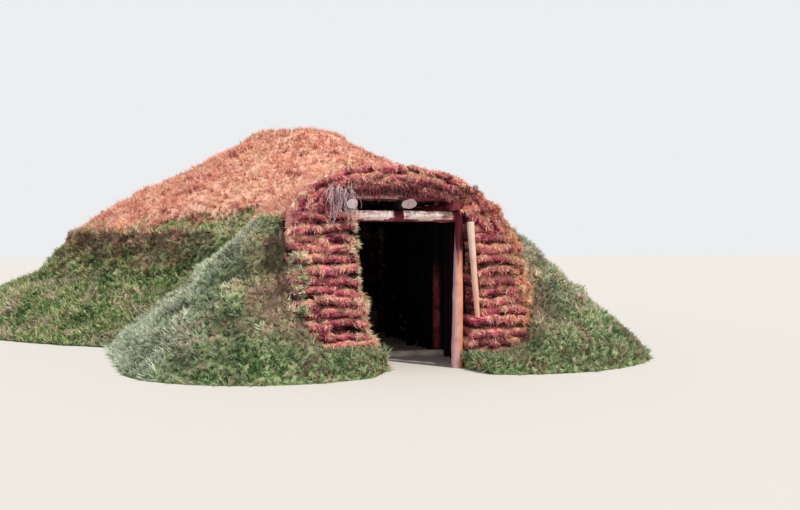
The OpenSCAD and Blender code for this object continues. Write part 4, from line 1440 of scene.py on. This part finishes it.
class LODGE_OT_sods(bpy.types.Operator):
    """Stack the sods beside and over the doorway"""

    bl_idname = "lodge.sods"
    bl_label = "Sods"

    def pier(self, template, side):
        """The sods and the earth of the pier on one side of the doorway."""
        dice = random.Random(40 + side)
        course = PLATE_H / COURSES
        laid = []
        for i in range(COURSES):
            z = i * course
            ledge = side > 0 and i < LEDGE_COURSES
            inner = jamb_x(side, z + course / 2) + dice.uniform(-0.04, 0.03) - ledge * LEDGE_IN
            outer = arch_half_at(side, z + course) + dice.uniform(-0.05, 0.02)
            first, last = sorted((side * inner, side * outer))
            laid += row_of_sods(template, first, last, z, course, dice, 0.62, ledge * LEDGE_OUT)
        jamb = jamb_x(side, PLATE_H) + 0.08
        doorway = sorted((side * jamb, -side * 3))
        laid.append(earth_core(0.0, [((doorway[0], DOOR_Y - 1, -1), (doorway[1], DOOR_Y + 1, 4)),
                                     ((-3, DOOR_Y - 1, PLATE_H), (3, DOOR_Y + 1, 4))]))
        return laid

    def header(self, template):
        """The sods and the earth over the doorway."""
        dice = random.Random(43)
        count = 5
        tall = (ARCH_TOP - PLATE_H) / count
        laid = []
        for j in range(count):
            z = PLATE_H + j * tall
            left, right = (arch_half_at(side, z + 0.9 * tall) - 0.08 for side in (-1, 1))
            if z + 0.3 * tall < CEILING_H:
                laid += row_of_sods(template, -left, POLE_LEFT, z, tall, dice, 0.6)
                laid += row_of_sods(template, POLE_RIGHT, right, z, tall, dice, 0.6)
            else:
                # The lowest whole course lies back, in shade behind the twigs
                back = -0.1 if z < CEILING_H + 0.5 * tall else 0.0
                laid += row_of_sods(template, -left, right, z, tall, dice, 0.8, back)
        laid += shoulder(template, -1, 0, 88, dice) + shoulder(template, 1, 28, 88, dice)
        laid.append(earth_core(PLATE_H, [((POLE_LEFT, DOOR_Y - 1, 0),
                                          (POLE_RIGHT, DOOR_Y + 1, CEILING_H))]))
        return laid

    def execute(self, context):
        # Without a seed the sods' roughness would differ in each run
        noise.seed_set(7)
        template = sod_template()
        stacks = {"sod_pier_left": self.pier(template, -1), "sod_pier_right": self.pier(template, 1),
                  "sod_header": self.header(template)}
        bpy.data.objects.remove(template)
        fringe = tuft_set("root_tufts", 6, 6, 0.06, 0.01, 0.9)
        # From where the fringe of the right-hand ends grows, and its colour
        edges = {"pier_left": (-0.85, "cream_fringe"), "pier_right": (1.35, "gold_fringe"),
                 "header": (0.6, "gold_fringe")}
        for number, (name, laid) in enumerate(stacks.items()):
            stack = join(laid)
            bpy.ops.object.shade_smooth()
            short = name.replace("sod_", "")
            settle(stack, short + "_sods", "cut_sod", "sod", name)
            grow(short + "_roots", "root_fringe", "sod", stack, fringe, 1350, 50 + number,
                 toward=(0, -0.6, -0.8), share=0.7, sway=0.45, facing=(0, -0.9, 0.4), least=0.2,
                 size=(0.55, 1.4), clump=0.12, keep=[(1, -FAR, DOOR_Y + 0.12)], where=("rise", 0.38, FAR))
            place, finish = edges[short]
            grow(short + "_edge", finish, "sod", stack, fringe, 1600, 60 + number,
                 toward=(0.5, -0.5, -0.4), share=0.7, sway=0.5, facing=(1, 0, 0), least=0.35,
                 size=(0.7, 1.5), clump=0.15, keep=[(1, -FAR, DOOR_Y + 0.22), (0, place, FAR)])
        drop(fringe)
        # Turf has grown over the left pier's edge
        tufts = tuft_set("turf_tufts", 4, 7, 0.08, 0.02, 0.7)
        grow("pier_left_turf", "berm_grass", "sod", bpy.data.objects["pier_left_sods"], tufts, 700, 70,
             share=0.2, sway=0.9, facing=(0, -1, 0.3), least=0.1, size=(0.6, 1.2), clump=0.3,
             keep=[(0, -FAR, -1.43), (1, -FAR, DOOR_Y + 0.12), (2, 0.4, 1.6)])
        drop(tufts)
        dice = random.Random(90)
        stalks = strands("root_bundle", 60, dice)
        settle(stalks, "root_bundle", "brush", "sod")
        twigs = [Vector((POLE_LEFT + (PASSAGE_HALF - POLE_LEFT) * i / 120,
                         DOOR_Y - 0.03 - dice.uniform(0, 0.06),
                         CEILING_H + dice.uniform(0.0, 0.14))) for i in range(120)]
        stalks = bundle("twig_fringe", twigs, 4, 0.11, 0.014, dice, 0.6)
        settle(stalks, "twig_fringe", "root_fringe", "sod")
        return {"FINISHED"}


class LODGE_OT_timbers(bpy.types.Operator):
    """Hew the doorway's logs, which show from outside"""

    bl_idname = "lodge.timbers"
    bl_label = "Doorway timbers"

    def axis_of(self, node):
        """Two ends and the radius of an upright or level log, from its box."""
        low, high = (Vector(corner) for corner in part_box(node))
        size = high - low
        along = max(range(3), key=lambda i: size[i])
        start, end = (low + high) / 2, (low + high) / 2
        start[along], end[along] = low[along], high[along]
        return start, end, min(size[i] for i in range(3) if i != along) / 2

    def execute(self, context):
        lintel_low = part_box("front_lintel")[0][2]
        cross_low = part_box("upper_cross_log")[0][2]
        # Logs with red bark faces, and where they are; some of these faces are painted shadow and shade
        for seed, (node, finish, bark, barked, taper, lean) in enumerate((
                ("front_lintel", "peeled_across", "red_bark_across",
                 # On the lintel: a red strip along the underside, the middle pole's painted shadow at x
                 # -0.19, and painted shade past x 0.6
                 lambda p: (p.z < lintel_low + 0.035 + 0.05 * noise.noise(p * 3)
                            or abs(p.x + 0.19) < 0.06 or p.x > 0.6), (1.0, 1.0), 0.0),
                ("upper_cross_log", "peeled_across", "red_bark_across",
                 # On the cross log: painted shade over its right part, and a red strip along the underside
                 lambda p: p.x > -0.1 + 0.2 * noise.noise(p * 5) or p.z < cross_low + 0.03,
                 (1.0, 1.0), 0.0),
                ("threshold_log", "pale_across", "", None, (1.0, 1.0), 0.0),
                ("front_post_right", "post_wood", "", None, (1.02, 0.72), 0.025))):
            start, end, radius = self.axis_of(node)
            end = (end[0] + lean, end[1], end[2])
            log, caps = timber(node + "_wood", start, end, radius * 0.97, 60 + seed, taper=taper)
            finish_timber(log, caps, finish, "bare_timber", node, bark=bark, barked=barked)
        low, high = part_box("leaning_pole")
        y = (low[1] + high[1]) / 2
        radius = (high[1] - low[1]) / 2
        log, caps = timber("leaning_pole_wood", (high[0] - radius, y, low[2]),
                           (low[0] + radius - 0.02, y, high[2]), radius * 0.97, 71, knots=4,
                           taper=(1.05, 1.6), rough=0.08)
        finish_timber(log, caps, "pole_wood", "bare_timber", "leaning_pole")
        low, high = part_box("roof_poles")
        radius = (high[2] - low[2]) / 2
        middle = (low[0] + high[0]) / 2
        poles = []
        for i, (offset, out, slant) in enumerate(((-1, 0.03, 0.06), (0, 0.13, 0.14), (1, -0.02, 0.05))):
            x = middle + offset * ((high[0] - low[0]) / 2 - radius)
            z = (low[2] + high[2]) / 2
            poles.append(timber(f"roof_pole_{i}", (x, high[1], z), (x, low[1] - out, z), radius * 0.97,
                                80 + i, rough=0.12, slant=slant))
        caps = [cap for pole, flags in poles for cap in flags]
        log = join([pole for pole, flags in poles])
        log.name = "roof_poles_wood"
        # The poles are near black with painted shade
        finish_timber(log, caps, "dark_lengthwise", "bark_timber", "roof_poles",
                      bark="red_bark_lengthwise", barked=lambda p: p.x > middle + 0.3)
        # The right pole, sawn end and all, is red bark darkened as painted shade
        for face in log.data.polygons:
            if face.center.x > middle + 0.3:
                face.material_index = 2
        return {"FINISHED"}


class LODGE_OT_frame(bpy.types.Operator):
    """Give the timbers of the room and the passage their bark, near black with painted shade in the passage
    """

    bl_idname = "lodge.frame"
    bl_label = "Room frame"

    def execute(self, context):
        for names, finish in (
                (["centre_posts", "outer_posts", "wall_poles"], "bark_upright"),
                (["centre_beams", "outer_beams", "rafters"], "bark_across"),
                (["front_post_left", "passage_posts_left", "passage_lining_left", "passage_lining_right"],
                 "dark_upright"),
                (["passage_posts_right"], "sooty_upright"),
                (["passage_lintels", "passage_cross_poles"], "dark_across"),
                (["sod_wall_left", "sod_wall_right"], "cut_sod")):
            for name in names:
                node = frame["nodes"][name]
                node.data.materials.clear()
                node.data.materials.append(finish_of(finish))
        return {"FINISHED"}


class LODGE_OT_stage(bpy.types.Operator):
    """Set the floor, the lights and the camera"""

    bl_idname = "lodge.stage"
    bl_label = "Stage"

    def execute(self, context):
        scene = context.scene
        deselect()
        bpy.ops.mesh.primitive_plane_add(size=400, location=(0, 0, 0))
        floor = context.object
        floor.name = "floor"
        material, tree = new_material("pale_floor")
        shader = add_node(tree, "ShaderNodeBsdfPrincipled", {
            "Base Color": colour("#e9e4dc"), "Roughness": 0.9})
        add_node(tree, "ShaderNodeOutputMaterial", {"Surface": shader.outputs[0]})
        floor.data.materials.append(material)
        world = bpy.data.worlds.new("soft_sky")
        scene.world = world
        world.use_nodes = True
        tree = world.node_tree
        tree.nodes.clear()
        path = add_node(tree, "ShaderNodeLightPath")
        seen = add_node(tree, "ShaderNodeMath", {
            0: path.outputs["Is Camera Ray"], 1: path.outputs["Is Glossy Ray"]}, operation="MAXIMUM")
        light = add_node(tree, "ShaderNodeBackground", {"Color": colour("#dfe6ee"), "Strength": 0.55})
        pale = add_node(tree, "ShaderNodeBackground", {"Color": colour("#eceef0"), "Strength": 1.0})
        mixed = add_node(tree, "ShaderNodeMixShader", {
            0: seen.outputs[0], 1: light.outputs[0], 2: pale.outputs[0]})
        add_node(tree, "ShaderNodeOutputWorld", {0: mixed.outputs[0]})
        bpy.ops.object.light_add(type="SUN", location=(8, -12, 14))
        sun = context.object
        sun.name = "sun"
        sun.data.energy = 2.6
        sun.data.angle = math.radians(3)
        sun.data.color = (1.0, 0.96, 0.9)
        sun.rotation_euler = Vector((0.45, -0.62, 1.0)).to_track_quat("Z", "Y").to_euler()
        bpy.ops.object.camera_add(location=EYE)
        camera = context.object
        camera.name = "camera"
        camera.data.sensor_width = 36
        camera.data.lens = FOCAL * camera.data.sensor_width
        camera.data.clip_end = 1000
        camera.rotation_euler = (math.radians(90) - EYE_DOWN, 0, -EYE_RIGHT)
        scene.camera = camera
        scene.view_settings.view_transform = "Standard"
        return {"FINISHED"}


class LODGE_PT_panel(bpy.types.Panel):
    """Sizes, colours and steps of the lodge"""

    bl_idname = "LODGE_PT_panel"
    bl_label = "Earth lodge"
    bl_space_type = "VIEW_3D"
    bl_region_type = "UI"
    bl_category = "Lodge"

    def draw(self, context):
        for name in LodgeSettings.__annotations__:
            self.layout.prop(context.scene.lodge, name)
        for step in STEPS:
            self.layout.operator(step.bl_idname)


STEPS = (LODGE_OT_mound, LODGE_OT_berms, LODGE_OT_grass, LODGE_OT_thatch, LODGE_OT_sods,
         LODGE_OT_timbers, LODGE_OT_frame, LODGE_OT_stage)
CLASSES = (LodgeSettings, *STEPS, LODGE_PT_panel)


def register():
    """Adds the settings, the operators and the panel."""
    for item in CLASSES:
        bpy.utils.register_class(item)
    bpy.types.Scene.lodge = PointerProperty(type=LodgeSettings)


def unregister():
    """Removes them again."""
    del bpy.types.Scene.lodge
    for item in reversed(CLASSES):
        bpy.utils.unregister_class(item)


def main():
    """Runs every step in order."""
    register()
    for step in STEPS:
        group, name = step.bl_idname.split(".")
        getattr(getattr(bpy.ops, group), name)()


if __name__ == "__main__":
    main()
